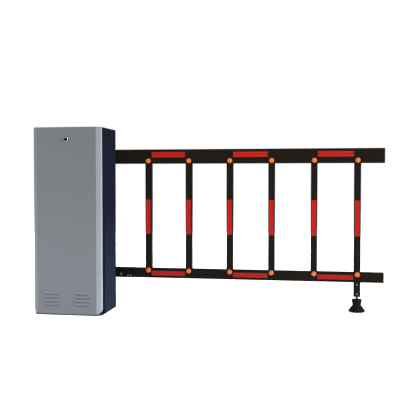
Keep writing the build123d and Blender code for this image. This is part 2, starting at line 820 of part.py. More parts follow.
with BuildPart() as circuit_breaker:
    with BuildSketch(on_wall(din_rail_depth)):
        with Locations((-breaker_width / 2 - din_flange, din_middle_z)):
            Rectangle(breaker_width, breaker_height)
    extrude(amount=breaker_depth - breaker_nose)
    with BuildSketch(on_wall(din_rail_depth)):
        with Locations((-breaker_width / 2 - din_flange, din_middle_z)):
            Rectangle(breaker_width, breaker_height / 2)
    extrude(amount=breaker_depth)
circuit_breaker.part.label = "circuit_breaker"
export_step(circuit_breaker.part, "parts/circuit_breaker.step")

# ================================================================ boom
# Holder on the end of the shaft: a back plate with two jaws, closed by a clamp plate.
holder_width = holder_left + holder_right
holder_middle = (holder_right - holder_left) / 2
holder_half_height = top_rail_height / 2 + holder_jaw
clamp_bolt_x = holder_width - 2 * clamp_bolt_inset
clamp_bolt_z = top_rail_height + holder_jaw
with BuildPart() as boom_holder:
    with BuildSketch(upright(rail_rear_y, shaft_height)) as holder_outline:
        with Locations((holder_middle, 0)):
            Rectangle(holder_width, 2 * holder_half_height)
        chamfer(holder_outline.vertices(), length=holder_corner)
    extrude(amount=rail_depth + holder_plate)
    with BuildSketch(upright(rail_rear_y, shaft_height)):
        with Locations((holder_middle, 0)):
            Rectangle(holder_width, top_rail_height)
    extrude(amount=rail_depth, mode=Mode.SUBTRACT)
    with BuildSketch(upright(rail_front_y, shaft_height)):
        Circle(shaft_radius + running_clearance)
    extrude(amount=holder_plate, mode=Mode.SUBTRACT)
boom_holder.part.label = "boom_holder"
export_step(boom_holder.part, "parts/boom_holder.step")

clamp_rear_y = rail_rear_y + clamp_plate_thickness
with BuildPart() as clamp_plate:
    with BuildSketch(upright(clamp_rear_y, shaft_height)) as clamp_outline:
        with Locations((holder_middle, 0)):
            Rectangle(holder_width, 2 * holder_half_height)
        chamfer(clamp_outline.vertices(), length=holder_corner)
    extrude(amount=clamp_plate_thickness)
clamp_plate.part.label = "clamp_plate"
export_step(clamp_plate.part, "parts/clamp_plate.step")

with BuildPart() as clamp_bolts:
    with BuildSketch(upright(clamp_rear_y + clamp_head_height, shaft_height)):
        with Locations((holder_middle, 0)):
            with GridLocations(clamp_bolt_x, clamp_bolt_z, 2, 2):
                RegularPolygon(clamp_head_radius, 6)
    extrude(amount=clamp_head_height)
clamp_bolts.part.label = "clamp_bolts"
export_step(clamp_bolts.part, "parts/clamp_bolts.step")


def rail_extrusion(height, pivot_inset, side, start, reach, middle_z):
    """Slotted rail: closed chamber on one side of a web, open slot for the bars on the other.

    side is -1 where the slot opens downwards and 1 where it opens upwards; pivot_inset is the
    distance from the slot's open edge to the line of pivots.
    """
    slot_floor = pivot_inset + slot_depth
    chamber = height - slot_floor - 2 * rail_wall
    inner_width = rail_depth - 2 * rail_wall
    with BuildPart() as rail:
        section = Plane(origin=(start, fence_y, middle_z), x_dir=(0, 1, 0), z_dir=(1, 0, 0))
        with BuildSketch(section) as profile:
            Rectangle(rail_depth, height)
            chamfer(profile.vertices(), length=rail_edge)
            with Locations((0, side * (height - slot_floor) / 2)):
                Rectangle(inner_width, slot_floor, mode=Mode.SUBTRACT)
            with Locations((0, side * (rail_wall + chamber / 2 - height / 2))):
                Rectangle(inner_width, chamber, mode=Mode.SUBTRACT)
        extrude(amount=reach - start)
        with BuildSketch(upright(rail_rear_y, middle_z + side * (height / 2 - pivot_inset))):
            with Locations([(x, 0) for x in bar_places]):
                Rectangle(pivot_square + 2 * fixing_play, pivot_square + 2 * fixing_play)
        extrude(amount=rail_depth, mode=Mode.SUBTRACT)
    return rail.part


def pivot_bolts(pivot_z):
    """Pins through a rail at every bar: square in both walls, round between, with a nut behind."""
    with BuildPart() as bolts:
        with BuildSketch(upright(rail_rear_y - rail_wall, pivot_z)):
            with Locations([(x, 0) for x in bar_places]):
                Circle(pivot_bolt_radius)
        extrude(amount=rail_depth - 2 * rail_wall)
        for rear_y in (rail_front_y + rail_wall, rail_rear_y):
            with BuildSketch(upright(rear_y, pivot_z)):
                with Locations([(x, 0) for x in bar_places]):
                    Rectangle(pivot_square, pivot_square)
            extrude(amount=rail_wall)
        with BuildSketch(upright(rail_rear_y + pivot_nut_height, pivot_z)):
            with Locations([(x, 0) for x in bar_places]):
                RegularPolygon(pivot_nut_radius, 6)
        extrude(amount=pivot_nut_height)
    return bolts.part


def pivot_caps(pivot_z):
    """Round plastic caps that cover the pins on a rail's front face."""
    with BuildPart() as caps:
        with BuildSketch(upright(rail_front_y, pivot_z)):
            with Locations([(x, 0) for x in bar_places]):
                Circle(cap_radius)
        extrude(amount=cap_height)
    return caps.part


def reflector_strips(middle_z, width):
    """Strips on both faces of a rail, in every other gap between the bars."""
    with BuildPart() as strips:
        for rear_y in (rail_front_y, rail_rear_y + strip_thickness):
            with BuildSketch(upright(rear_y, middle_z)):
                with Locations([(x, 0) for x in strip_places]):
                    Rectangle(strip_length, width)
            extrude(amount=strip_thickness)
    return strips.part


def end_caps(height, pivot_inset, side, middle_z, ends):
    """Plastic caps on the open ends of a rail, each with a plug in the closed chamber.

    Each stops short of the slot's edge, where the last bar folds past it. ends holds one
    (x, outward) pair for each capped end.
    """
    slot_floor = pivot_inset + slot_depth
    chamber = height - slot_floor - 2 * rail_wall
    inner_width = rail_depth - 2 * rail_wall
    with BuildPart() as caps:
        for x, outward in ends:
            end = Plane(origin=(x, fence_y, middle_z), x_dir=(0, 1, 0), z_dir=(outward, 0, 0))
            up = end.y_dir.Z
            with BuildSketch(end) as outline:
                with Locations((0, -up * side * end_cap_relief / 2)):
                    Rectangle(rail_depth, height - end_cap_relief)
                chamfer(outline.vertices(), length=rail_edge)
            extrude(amount=end_cap_thickness)
            with BuildSketch(end):
                with Locations((0, up * side * (rail_wall + chamber / 2 - height / 2))):
                    Rectangle(inner_width - 2 * fixing_play, chamber - 2 * fixing_play)
            extrude(amount=-end_plug_length)
    return caps.part


top_pivot_inset = top_rail_height / 2 - pivot_drop
low_pivot_inset = low_rail_height / 2 - pivot_rise

boom_rail = rail_extrusion(top_rail_height, top_pivot_inset, -1, -rail_tail, top_rail_reach, shaft_height)
boom_rail.label = "boom_rail"
export_step(boom_rail, "parts/boom_rail.step")

boom_end_caps = end_caps(
    top_rail_height, top_pivot_inset, -1, shaft_height, ((-rail_tail, -1), (top_rail_reach, 1))
)
boom_end_caps.label = "boom_end_caps"
export_step(boom_end_caps, "parts/boom_end_caps.step")

boom_reflectors = reflector_strips(shaft_height + top_strip_rise, top_strip_width)
boom_reflectors.label = "boom_reflectors"
export_step(boom_reflectors, "parts/boom_reflectors.step")

boom_pivot_bolts = pivot_bolts(top_pivot_z)
boom_pivot_bolts.label = "boom_pivot_bolts"
export_step(boom_pivot_bolts, "parts/boom_pivot_bolts.step")

boom_pivot_caps = pivot_caps(top_pivot_z)
boom_pivot_caps.label = "boom_pivot_caps"
export_step(boom_pivot_caps, "parts/boom_pivot_caps.step")

# ================================================================ folding bars
# Sealed tubes with solid ends, cropped at the corners so that they turn inside the slots.
bar_depth = rail_depth - 2 * rail_wall - 2 * bar_play
bar_middle_z = (top_pivot_z + low_pivot_z) / 2
bar_hollow = pivot_spacing - 2 * bar_end_radius
for number, bar_x in enumerate(bar_places, start=1):
    with BuildPart() as bar:
        with BuildSketch(Plane.XY.offset(low_pivot_z - bar_end_radius)) as section:
            with Locations((bar_x, fence_y)):
                Rectangle(bar_width, bar_depth)
            chamfer(section.vertices(), length=bar_edge)
        extrude(amount=pivot_spacing + 2 * bar_end_radius)
        with BuildSketch(upright(fence_y + bar_depth / 2, bar_middle_z, bar_x)) as outline:
            Rectangle(bar_width, pivot_spacing + 2 * bar_end_radius)
            chamfer(outline.vertices(), length=bar_crop)
        extrude(amount=bar_depth, mode=Mode.INTERSECT)
        with BuildSketch(Plane.XY.offset(bar_middle_z)):
            with Locations((bar_x, fence_y)):
                Rectangle(bar_width - 2 * bar_wall, bar_depth - 2 * bar_wall)
        extrude(amount=bar_hollow / 2, both=True, mode=Mode.SUBTRACT)
        with BuildSketch(upright(fence_y + bar_depth / 2, bar_middle_z, bar_x, turn=90)):
            with Locations((pivot_spacing / 2, 0)):
                Circle(pivot_bolt_radius + running_clearance)
            with Locations((-pivot_spacing / 2, 0)):
                Circle(pivot_bolt_radius + open_pivot_clearance)
        extrude(amount=bar_depth, mode=Mode.SUBTRACT)
    bar.part.label = f"bar_{number}"
    export_step(bar.part, f"parts/bar_{number}.step")

    with BuildPart() as bar_reflectors:
        for rear_y in (fence_y - bar_depth / 2, fence_y + bar_depth / 2 + strip_thickness):
            with BuildSketch(upright(rear_y, top_pivot_z - bar_strip_drop, bar_x)):
                Rectangle(bar_strip_width, bar_strip_length, align=(Align.CENTER, Align.MAX))
            extrude(amount=strip_thickness)
    bar_reflectors.part.label = f"bar_{number}_reflectors"
    export_step(bar_reflectors.part, f"parts/bar_{number}_reflectors.step")

# ================================================================ lower rail and its pivot
low_rail = rail_extrusion(low_rail_height, low_pivot_inset, 1, low_rail_start, low_rail_reach, low_rail_z)
low_rail.label = "lower_rail"
export_step(low_rail, "parts/lower_rail.step")

lower_end_cap = end_caps(low_rail_height, low_pivot_inset, 1, low_rail_z, ((low_rail_reach, 1),))
lower_end_cap.label = "lower_rail_end_cap"
export_step(lower_end_cap, "parts/lower_rail_end_cap.step")

lower_reflectors = reflector_strips(low_rail_z, low_strip_width)
lower_reflectors.label = "lower_rail_reflectors"
export_step(lower_reflectors, "parts/lower_rail_reflectors.step")

lower_pivot_bolts = pivot_bolts(low_pivot_z)
lower_pivot_bolts.label = "lower_pivot_bolts"
export_step(lower_pivot_bolts, "parts/lower_pivot_bolts.step")

lower_pivot_caps = pivot_caps(low_pivot_z)
lower_pivot_caps.label = "lower_pivot_caps"
export_step(lower_pivot_caps, "parts/lower_pivot_caps.step")

# End bracket: two cheeks on the rail's faces, joined by the tube that turns on the fixed pin.
cheek_front_y = rail_front_y - cheek_thickness
cheek_rear_y = rail_rear_y + cheek_thickness
low_rail_bottom = low_rail_z - low_rail_height / 2
with BuildPart() as lower_rail_bracket:
    for rear_y in (rail_front_y, cheek_rear_y):
        with BuildSketch(upright(rear_y, low_rail_bottom)):
            with Locations((-cheek_tail, 0)):
                Rectangle(cheek_reach + cheek_tail, low_rail_height, align=(Align.MIN, Align.MIN))
                Rectangle(2 * cheek_tail, low_pin_z - low_rail_bottom, align=(Align.MIN, Align.MIN))
            with Locations((0, low_pin_z - low_rail_bottom)):
                Circle(cheek_tail)
        extrude(amount=cheek_thickness)
    with BuildSketch(upright(cheek_rear_y, low_pin_z)):
        Circle(low_boss_radius)
    extrude(amount=cheek_rear_y - cheek_front_y)
    with BuildSketch(upright(cheek_rear_y, low_pin_z)):
        Circle(low_pin_radius + running_clearance)
    extrude(amount=cheek_rear_y - cheek_front_y, mode=Mode.SUBTRACT)
lower_rail_bracket.part.label = "lower_rail_bracket"
export_step(lower_rail_bracket.part, "parts/lower_rail_bracket.step")

# One large bolt head and two small screw heads on each cheek.
bracket_fixings = [
    (bracket_bolt_offset, -bracket_bolt_drop, bracket_bolt_radius),
    (bracket_screw_offset, -bracket_screw_drop, bracket_screw_radius),
    (bracket_screw_offset + bracket_screw_pitch, -bracket_screw_drop, bracket_screw_radius),
]
with BuildPart() as lower_rail_screws:
    for x, drop, head_radius in bracket_fixings:
        for rear_y in (cheek_front_y, cheek_rear_y + bracket_head_height):
            with BuildSketch(upright(rear_y, low_rail_z)):
                with Locations((x, drop)):
                    RegularPolygon(head_radius, 6)
            extrude(amount=bracket_head_height)
lower_rail_screws.part.label = "lower_rail_screws"
export_step(lower_rail_screws.part, "parts/lower_rail_screws.step")

# Fixed pivot on the cabinet's back: plate, stiff collar and pin, closed by a nut.
with BuildPart() as lower_pivot_bracket:
    with BuildSketch(upright(back_y + low_plate, low_pin_z)) as plate_outline:
        Rectangle(low_plate_width, low_plate_height)
        chamfer(plate_outline.vertices(), length=low_plate_corner)
    extrude(amount=low_plate)
    with BuildSketch(upright(cheek_front_y - seat_gap, low_pin_z)):
        Circle(low_collar_radius)
    extrude(amount=cheek_front_y - seat_gap - back_y)
    low_pin_rear_y = cheek_rear_y + seat_gap + low_nut_height + low_pin_end
    with BuildSketch(upright(low_pin_rear_y, low_pin_z)):
        Circle(low_pin_radius)
    extrude(amount=low_pin_rear_y - back_y)
lower_pivot_bracket.part.label = "lower_pivot_bracket"
export_step(lower_pivot_bracket.part, "parts/lower_pivot_bracket.step")

with BuildPart() as lower_pivot_nut:
    with BuildSketch(upright(cheek_rear_y + seat_gap + low_nut_height, low_pin_z)):
        RegularPolygon(low_nut_radius, 6)
        Circle(low_pin_radius + running_clearance, mode=Mode.SUBTRACT)
    extrude(amount=low_nut_height)
lower_pivot_nut.part.label = "lower_pivot_nut"
export_step(lower_pivot_nut.part, "parts/lower_pivot_nut.step")

# ================================================================ leg and foot
leg_x = bar_places[-1]
leg_bottom = foot_height + leg_gap
with BuildPart() as leg_tube:
    with BuildSketch(Plane.XY.offset(leg_bottom)) as leg_section:
        with Locations((leg_x, fence_y)):
            Rectangle(leg_width, bar_depth)
        chamfer(leg_section.vertices(), length=bar_edge)
        with Locations((leg_x, fence_y)):
            Rectangle(leg_width - 2 * leg_wall, bar_depth - 2 * leg_wall, mode=Mode.SUBTRACT)
    extrude(amount=low_rail_bottom - leg_bottom)
leg_tube.part.label = "leg_tube"
export_step(leg_tube.part, "parts/leg_tube.step")

with BuildPart() as leg_insert:
    with BuildSketch(Plane.XY.offset(leg_bottom)):
        with Locations((leg_x, fence_y)):
            Rectangle(leg_width - 2 * leg_wall, bar_depth - 2 * leg_wall)
            Circle(foot_rod_radius + running_clearance, mode=Mode.SUBTRACT)
    extrude(amount=insert_length)
leg_insert.part.label = "leg_insert"
export_step(leg_insert.part, "parts/leg_insert.step")

foot_socket_floor = foot_height - foot_socket_depth
with BuildPart() as foot_rod:
    with BuildSketch(Plane.XY.offset(foot_socket_floor)):
        with Locations((leg_x, fence_y)):
            Circle(foot_rod_radius)
    extrude(amount=foot_rod_length)
foot_rod.part.label = "foot_rod"
export_step(foot_rod.part, "parts/foot_rod.step")

# Rubber foot: one turned form with a sole, a flared skirt and a collar with the rod's socket.
with BuildPart() as rubber_foot:
    with BuildSketch(upright(fence_y, 0, leg_x)):
        with BuildLine():
            Polyline(
                (0, 0),
                (foot_radius, 0),
                (foot_radius, foot_rim_height),
                (foot_collar_radius, foot_skirt_height),
                (foot_collar_radius, foot_height),
                (foot_rod_radius, foot_height),
                (foot_rod_radius, foot_socket_floor),
                (0, foot_socket_floor),
                close=True,
            )
        make_face()
    revolve(axis=Axis((leg_x, fence_y, 0), (0, 0, 1)))
rubber_foot.part.label = "rubber_foot"
export_step(rubber_foot.part, "parts/rubber_foot.step")
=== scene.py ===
"""Looks of the parking barrier gate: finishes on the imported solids, and the fine pieces that ride on them.

Everything is in metres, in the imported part's own frame: X along the lowered boom, Y from the
cabinet's cover to its back, Z up from the floor.
"""

import json
import math

import bmesh
import bpy
from mathutils import Matrix, Vector


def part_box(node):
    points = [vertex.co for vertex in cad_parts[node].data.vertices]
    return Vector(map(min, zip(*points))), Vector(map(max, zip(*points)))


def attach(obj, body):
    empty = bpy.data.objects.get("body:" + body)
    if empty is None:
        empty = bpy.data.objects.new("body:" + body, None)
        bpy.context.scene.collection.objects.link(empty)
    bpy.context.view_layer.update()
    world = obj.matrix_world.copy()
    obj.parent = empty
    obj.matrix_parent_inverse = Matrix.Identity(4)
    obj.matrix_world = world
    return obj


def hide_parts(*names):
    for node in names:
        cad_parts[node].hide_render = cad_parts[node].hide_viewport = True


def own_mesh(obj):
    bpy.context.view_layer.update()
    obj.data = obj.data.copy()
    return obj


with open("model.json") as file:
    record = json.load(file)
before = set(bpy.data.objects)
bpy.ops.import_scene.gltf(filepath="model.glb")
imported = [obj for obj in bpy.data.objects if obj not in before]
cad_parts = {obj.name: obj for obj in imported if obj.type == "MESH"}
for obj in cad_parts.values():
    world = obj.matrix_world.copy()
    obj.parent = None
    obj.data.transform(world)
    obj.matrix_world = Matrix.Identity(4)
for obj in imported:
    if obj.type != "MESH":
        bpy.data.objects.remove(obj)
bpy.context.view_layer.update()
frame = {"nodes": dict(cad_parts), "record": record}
scene = bpy.context.scene

# ---------------------------------------------------------------- places read from the frame
SHAFT_Z = 0.852
LOW_PIN_Z = 0.232
FENCE_Y = 0.200
BAR_COUNT = 6

rail_low, rail_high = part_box("boom_rail")
low_rail_low, low_rail_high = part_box("lower_rail")
RAIL_FRONT = rail_low.y
RAIL_REAR = rail_high.y
BAR_X = [sum(corner.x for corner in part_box(f"bar_{n}")) / 2 for n in range(1, BAR_COUNT + 1)]
BAR_PITCH = BAR_X[1] - BAR_X[0]
CAP_RADIUS = 0.0140


def middle_z(node):
    """Height of the middle of a node's box."""
    low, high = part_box(node)
    return (low.z + high.z) / 2


TOP_PIVOT_Z = middle_z("boom_pivot_caps")
LOW_PIVOT_Z = middle_z("lower_pivot_caps")


# ---------------------------------------------------------------- materials
class Finish:
    """A node-built material: a Principled shader with helpers for patterns in object space."""

    def __init__(self, name, color, roughness=0.5, metallic=0.0, specular=0.5):
        self.mat = bpy.data.materials.new(name)
        self.mat.use_nodes = True
        self.tree = self.mat.node_tree
        self.shader = self.tree.nodes["Principled BSDF"]
        self.color = color
        self.shader.inputs["Base Color"].default_value = (*color, 1)
        self.shader.inputs["Roughness"].default_value = roughness
        self.shader.inputs["Metallic"].default_value = metallic
        self.shader.inputs["Specular IOR Level"].default_value = specular
        self.place = self.tree.nodes.new("ShaderNodeTexCoord").outputs["Object"]

    def node(self, kind, **values):
        made = self.tree.nodes.new(kind)
        for key, value in values.items():
            setattr(made, key, value)
        return made

    def link(self, source, target):
        self.tree.links.new(source, target)

    def math(self, operation, first, second=0.0):
        made = self.node("ShaderNodeMath", operation=operation)
        for socket, value in zip(made.inputs, (first, second)):
            if hasattr(value, "links"):
                self.link(value, socket)
            else:
                socket.default_value = value
        return made.outputs[0]

    def axis(self, letter):
        """Object coordinate X, Y or Z as a number."""
        if not hasattr(self, "split"):
            self.split = self.node("ShaderNodeSeparateXYZ")
            self.link(self.place, self.split.inputs[0])
        return self.split.outputs[letter]

    def noise(self, scale, detail=3.0, stretch=(1, 1, 1)):
        mapping = self.node("ShaderNodeMapping")
        mapping.inputs["Scale"].default_value = stretch
        self.link(self.place, mapping.inputs["Vector"])
        made = self.node("ShaderNodeTexNoise")
        made.inputs["Scale"].default_value = scale
        made.inputs["Detail"].default_value = detail
        self.link(mapping.outputs[0], made.inputs["Vector"])
        return made.outputs["Fac"]

    def ramp(self, value, *stops):
        """Colour ramp: each stop is (position, colour)."""
        made = self.node("ShaderNodeValToRGB")
        elements = made.color_ramp.elements
        while len(elements) < len(stops):
            elements.new(0.5)
        for element, (position, color) in zip(elements, stops):
            element.position = position
            element.color = (*color, 1)
        self.link(value, made.inputs["Fac"])
        return made.outputs["Color"]

    def mix(self, factor, first, second, blend="MIX"):
        made = self.node("ShaderNodeMix", data_type="RGBA", blend_type=blend)
        sockets = made.inputs[0], made.inputs[6], made.inputs[7]
        for socket, value in zip(sockets, (factor, first, second)):
            if hasattr(value, "links"):
                self.link(value, socket)
            elif isinstance(value, (int, float)):
                socket.default_value = value
            else:
                socket.default_value = (*value, 1)
        return made.outputs[2]

    def multiply(self, factor, tone, by):
        """tone multiplied by a colour, as far as factor says."""
        return self.mix(factor, tone, by, blend="MULTIPLY")

    def smooth(self, value, low, high):
        """0 below low, 1 above high, smooth between."""
        made = self.node("ShaderNodeMapRange", interpolation_type="SMOOTHSTEP")
        self.link(value, made.inputs["Value"])
        made.inputs["From Min"].default_value = low
        made.inputs["From Max"].default_value = high
        return made.outputs[0]

    def across_bar(self):
        """Offset in X from the middle line of the nearest bar."""
        offset = self.math("SUBTRACT", self.axis("X"), BAR_X[0] - BAR_PITCH / 2)
        return self.math("SUBTRACT", self.math("FLOORED_MODULO", offset, BAR_PITCH), BAR_PITCH / 2)

    def paint(self, color_socket):
        self.link(color_socket, self.shader.inputs["Base Color"])

    def vary(self, amount, scale, stretch=(1, 1, 1), base=None):
        """Slight variation of tone over the surface."""
        fac = self.noise(scale, stretch=stretch)
        tone = self.ramp(fac, (0.3, (1 - amount,) * 3), (0.7, (1 + amount,) * 3))
        color = self.multiply(1.0, self.color if base is None else base, tone)
        self.paint(color)
        return color

    def rough(self, low, high, scale, stretch=(1, 1, 1)):
        made = self.node("ShaderNodeMapRange")
        self.link(self.noise(scale, stretch=stretch), made.inputs["Value"])
        made.inputs["To Min"].default_value = low
        made.inputs["To Max"].default_value = high
        self.link(made.outputs[0], self.shader.inputs["Roughness"])

    def bump(self, height, strength, distance):
        made = self.node("ShaderNodeBump")
        made.inputs["Strength"].default_value = strength
        made.inputs["Distance"].default_value = distance
        self.link(height, made.inputs["Height"])
        self.link(made.outputs[0], self.shader.inputs["Normal"])


def powder_coat(name, color, roughness, specular):
    finish = Finish(name, color, roughness, specular=specular)
    finish.vary(0.03, 9.0)
    finish.rough(roughness - 0.05, roughness + 0.06, 40.0)
    finish.bump(finish.noise(700.0), 0.12, 0.0004)
    return finish


COVER_LOW, COVER_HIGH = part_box("front_cover")
BEVEL_WIDTH = 0.024
LOUVRE_OFFSET = 0.087
LOUVRE_HALF = 0.039
LOUVRE_PITCH = 0.020
LOUVRE_LOWEST = 0.055
LOUVRE_COUNT = 4
LOUVRE_RISE = 0.0060


def cover_paint():
    """Grey powder coat with painted light: lighter towards the floor, with painted highlights on the bevels
    and on the returned edges.
    """
    finish = powder_coat("cover_paint", (0.170, 0.185, 0.200), 0.42, 0.30)
    height = finish.axis("Z")
    # Painted light: the face is made lighter towards the floor
    tone = finish.ramp(
        finish.smooth(height, 0.0, 1.0), (0.0, (0.1065, 0.1155, 0.1290)), (1.0, (0.0887, 0.0945, 0.1040))
    )
    away = finish.math("ABSOLUTE", finish.axis("X"))
    flat_half = COVER_HIGH.x - BEVEL_WIDTH
    # Painted highlight: the bevels are made lighter than the flat face
    bevel = finish.smooth(away, flat_half - 0.0006, flat_half + 0.0006)
    tone = finish.multiply(bevel, tone, (1.23, 1.23, 1.25))
    # Painted highlight along the returned side edges
    side = finish.smooth(away, COVER_HIGH.x - 0.0030, COVER_HIGH.x - 0.0008)
    tone = finish.multiply(side, tone, (1.40, 1.38, 1.36))
    rim = finish.smooth(height, COVER_HIGH.z - 0.0050, COVER_HIGH.z - 0.0040)
    tone = finish.multiply(rim, tone, (0.82, 0.82, 0.82))

    # Shade in the gap under each louvre
    row = finish.math("SUBTRACT", height, LOUVRE_LOWEST - LOUVRE_PITCH)
    under = finish.math("FLOORED_MODULO", row, LOUVRE_PITCH)
    gap = finish.smooth(under, LOUVRE_PITCH - 0.0052, LOUVRE_PITCH - 0.0046)
    last_row = finish.math("LESS_THAN", row, LOUVRE_PITCH * LOUVRE_COUNT)
    reach = finish.math("ABSOLUTE", finish.math("SUBTRACT", away, LOUVRE_OFFSET))
    beside = finish.math("LESS_THAN", reach, LOUVRE_HALF)
    gap = finish.math("MULTIPLY", gap, finish.math("MULTIPLY", last_row, beside))
    gap = finish.math("MULTIPLY", gap, finish.math("GREATER_THAN", row, 0.0))
    tone = finish.multiply(gap, tone, (0.66, 0.66, 0.66))

    # Painted light: the hoods, which stand in front of the cover's face, are made lighter
    raised = finish.math("SUBTRACT", COVER_LOW.y + LOUVRE_RISE, finish.axis("Y"))
    painted_hood_light = finish.smooth(raised, 0.0004, 0.0012)
    tone = finish.multiply(painted_hood_light, tone, (1.13, 1.17, 1.22))
    finish.vary(0.02, 7.0, base=tone)
    return finish.mat


def housing_paint():
    """Navy powder coat with painted shade at the folded edges, darker towards the top."""
    finish = powder_coat("housing_paint", (0.007, 0.009, 0.017), 0.50, 0.0)
    height = finish.smooth(finish.axis("Z"), 0.05, 0.95)
    tone = finish.ramp(
        height,
        (0.0, (0.0086, 0.0122, 0.0222)),
        (0.3, (0.0062, 0.0085, 0.0162)),
        (0.6, (0.0040, 0.0052, 0.0098)),
        (0.9, (0.0040, 0.0054, 0.0096)),
    )
    depth = finish.axis("Y")
    # Painted shade near the front and back folds
    front_fold_shade = finish.math("SUBTRACT", 1.0, finish.smooth(depth, -0.078, -0.060))
    back_fold_shade = finish.smooth(depth, 0.118, 0.134)
    painted_fold_shade = finish.math("MAXIMUM", front_fold_shade, back_fold_shade)
    finish.vary(0.03, 6.0, base=finish.mix(painted_fold_shade, tone, (0.003, 0.004, 0.010)))
    return finish.mat


def rail_coat(name, upright=False):
    """Brown-black coat with faint marks along the extrusion; upright ones get painted shade at their edges
    and a lighter middle.
    """
    finish = Finish(name, (0.0068, 0.0048, 0.0036), 0.55, specular=0.04)
    base = None
    stretch = (0.6, 60, 60)
    if upright:
        stretch = (60, 60, 0.6)
        # Painted shade: bars darker at their edges, lighter in the middle
        painted_edge_shade = finish.smooth(finish.math("ABSOLUTE", finish.across_bar()), 0.008, 0.015)
        base = finish.mix(painted_edge_shade, (0.0074, 0.0056, 0.0045), (0.0024, 0.0017, 0.0012))
    finish.vary(0.10, 6.0, stretch=stretch, base=base)
    finish.rough(0.46, 0.60, 8.0, stretch=stretch)
    finish.bump(finish.noise(5.0, stretch=stretch), 0.05, 0.0003)
    return finish.mat


def red_film(name, rail_node=None, tint=(1, 1, 1)):
    """Reflective film: prism cells under a clear face, a lighter rim and a darker middle line.

    The middle line runs along the strips in rail_node, or up the bars where that is None.
    """
    finish = Finish(name, (0.400, 0.012, 0.006), 0.30, specular=0.10)
    if rail_node is None:
        offset = finish.across_bar()
    else:
        offset = finish.math("SUBTRACT", finish.axis("Z"), middle_z(rail_node))
    away = finish.math("ABSOLUTE", offset)
    tone = finish.ramp(
        finish.smooth(away, 0.0, 0.016),
        (0.0, (0.240, 0.006, 0.003)),
        (0.25, (0.270, 0.006, 0.003)),
        (0.65, (0.350, 0.008, 0.003)),
    )
    tone = finish.multiply(1.0, tone, tint)
    cells = finish.node("ShaderNodeTexVoronoi", feature="DISTANCE_TO_EDGE")
    cells.inputs["Scale"].default_value = 260.0
    finish.link(finish.place, cells.inputs["Vector"])
    web = finish.ramp(cells.outputs["Distance"], (0.0, (0.82, 0.82, 0.82)), (0.14, (1.04, 1.04, 1.04)))
    finish.paint(finish.multiply(1.0, tone, web))
    finish.bump(cells.outputs["Distance"], 0.15, 0.0004)
    finish.shader.inputs["Coat Weight"].default_value = 0.06
    finish.shader.inputs["Coat Roughness"].default_value = 0.12
    return finish.mat


def plastic(name, color, roughness, specular=0.4):
    finish = Finish(name, color, roughness, specular=specular)
    finish.vary(0.03, 20.0)
    finish.rough(roughness - 0.05, roughness + 0.05, 60.0)
    finish.bump(finish.noise(500.0), 0.06, 0.0003)
    return finish.mat


def orange_plastic(name, pivot_z):
    """Moulded orange for the caps at height pivot_z, deeper towards the rim and dull at the middle."""
    finish = Finish(name, (0.620, 0.120, 0.022), 0.40, specular=0.12)
    across = finish.across_bar()
    rise = finish.math("SUBTRACT", finish.axis("Z"), pivot_z)
    squares = finish.math("ADD", finish.math("MULTIPLY", across, across), finish.math("MULTIPLY", rise, rise))
    reach = finish.math("DIVIDE", finish.math("SQRT", squares), CAP_RADIUS)
    tone = finish.ramp(
        reach,
        (0.08, (0.340, 0.110, 0.024)),
        (0.24, (0.430, 0.150, 0.030)),
        (0.52, (0.440, 0.130, 0.026)),
        (0.66, (0.470, 0.090, 0.019)),
        (0.97, (0.330, 0.052, 0.012)),
    )
    finish.vary(0.04, 60.0, base=tone)
    finish.bump(finish.noise(600.0), 0.05, 0.0002)
    return finish.mat


def metal(name, color, roughness, streak=(1, 1, 1), scale=30.0, marks=0.08):
    finish = Finish(name, color, roughness, metallic=1.0)
    finish.vary(marks, scale, stretch=streak)
    finish.rough(roughness - 0.08, roughness + 0.08, scale, stretch=streak)
    finish.bump(finish.noise(scale * 8, stretch=streak), 0.05, 0.0002)
    return finish.mat


def cast_paint(name, color):
    finish = Finish(name, color, 0.55, specular=0.35)
    finish.vary(0.08, 40.0)
    finish.bump(finish.noise(260.0, detail=5.0), 0.35, 0.0006)
    return finish.mat


def rubber(name):
    finish = Finish(name, (0.0052, 0.0040, 0.0033), 0.62, specular=0.04)
    finish.vary(0.10, 30.0)
    finish.bump(finish.noise(420.0), 0.12, 0.0004)
    return finish.mat


MATERIALS = {
    "cover_paint": cover_paint(),
    "cabinet_paint": housing_paint(),
    "base_black": powder_coat("base_black", (0.010, 0.010, 0.011), 0.5, 0.2).mat,
    "zinc_steel": metal("zinc_steel", (0.52, 0.53, 0.54), 0.38, scale=24.0),
    "cast_metal": cast_paint("cast_metal", (0.105, 0.115, 0.125)),
    "motor_alu": metal("motor_alu", (0.42, 0.44, 0.46), 0.48, scale=50.0),
    "rail_coat": rail_coat("rail_coat"),
    "red_film": red_film("boom_red_film", "boom_reflectors"),
    "orange_plastic": orange_plastic("orange_plastic", TOP_PIVOT_Z),
    "black_plastic": plastic("black_plastic", (0.0125, 0.0118, 0.0115), 0.55, specular=0.2),
    "grey_plastic": plastic("grey_plastic", (0.46, 0.48, 0.48), 0.45),
    "seal_rubber": rubber("seal_rubber"),
    "lock_chrome": metal("lock_chrome", (0.82, 0.83, 0.85), 0.12, scale=60.0, marks=0.02),
    "spring_steel": metal("spring_steel", (0.22, 0.22, 0.23), 0.35, scale=80.0),
}
BAR_COAT = rail_coat("bar_coat", upright=True)
LOW_RED_FILM = red_film("lower_red_film", "lower_rail_reflectors", tint=(0.88, 0.60, 0.60))
LOW_ORANGE = orange_plastic("lower_orange_plastic", LOW_PIVOT_Z)
BAR_RED_FILM = red_film("bar_red_film", tint=(1.16, 0.72, 0.66))
BRACKET_COAT = powder_coat("bracket_coat", (0.0034, 0.0026, 0.0019), 0.5, 0.06).mat
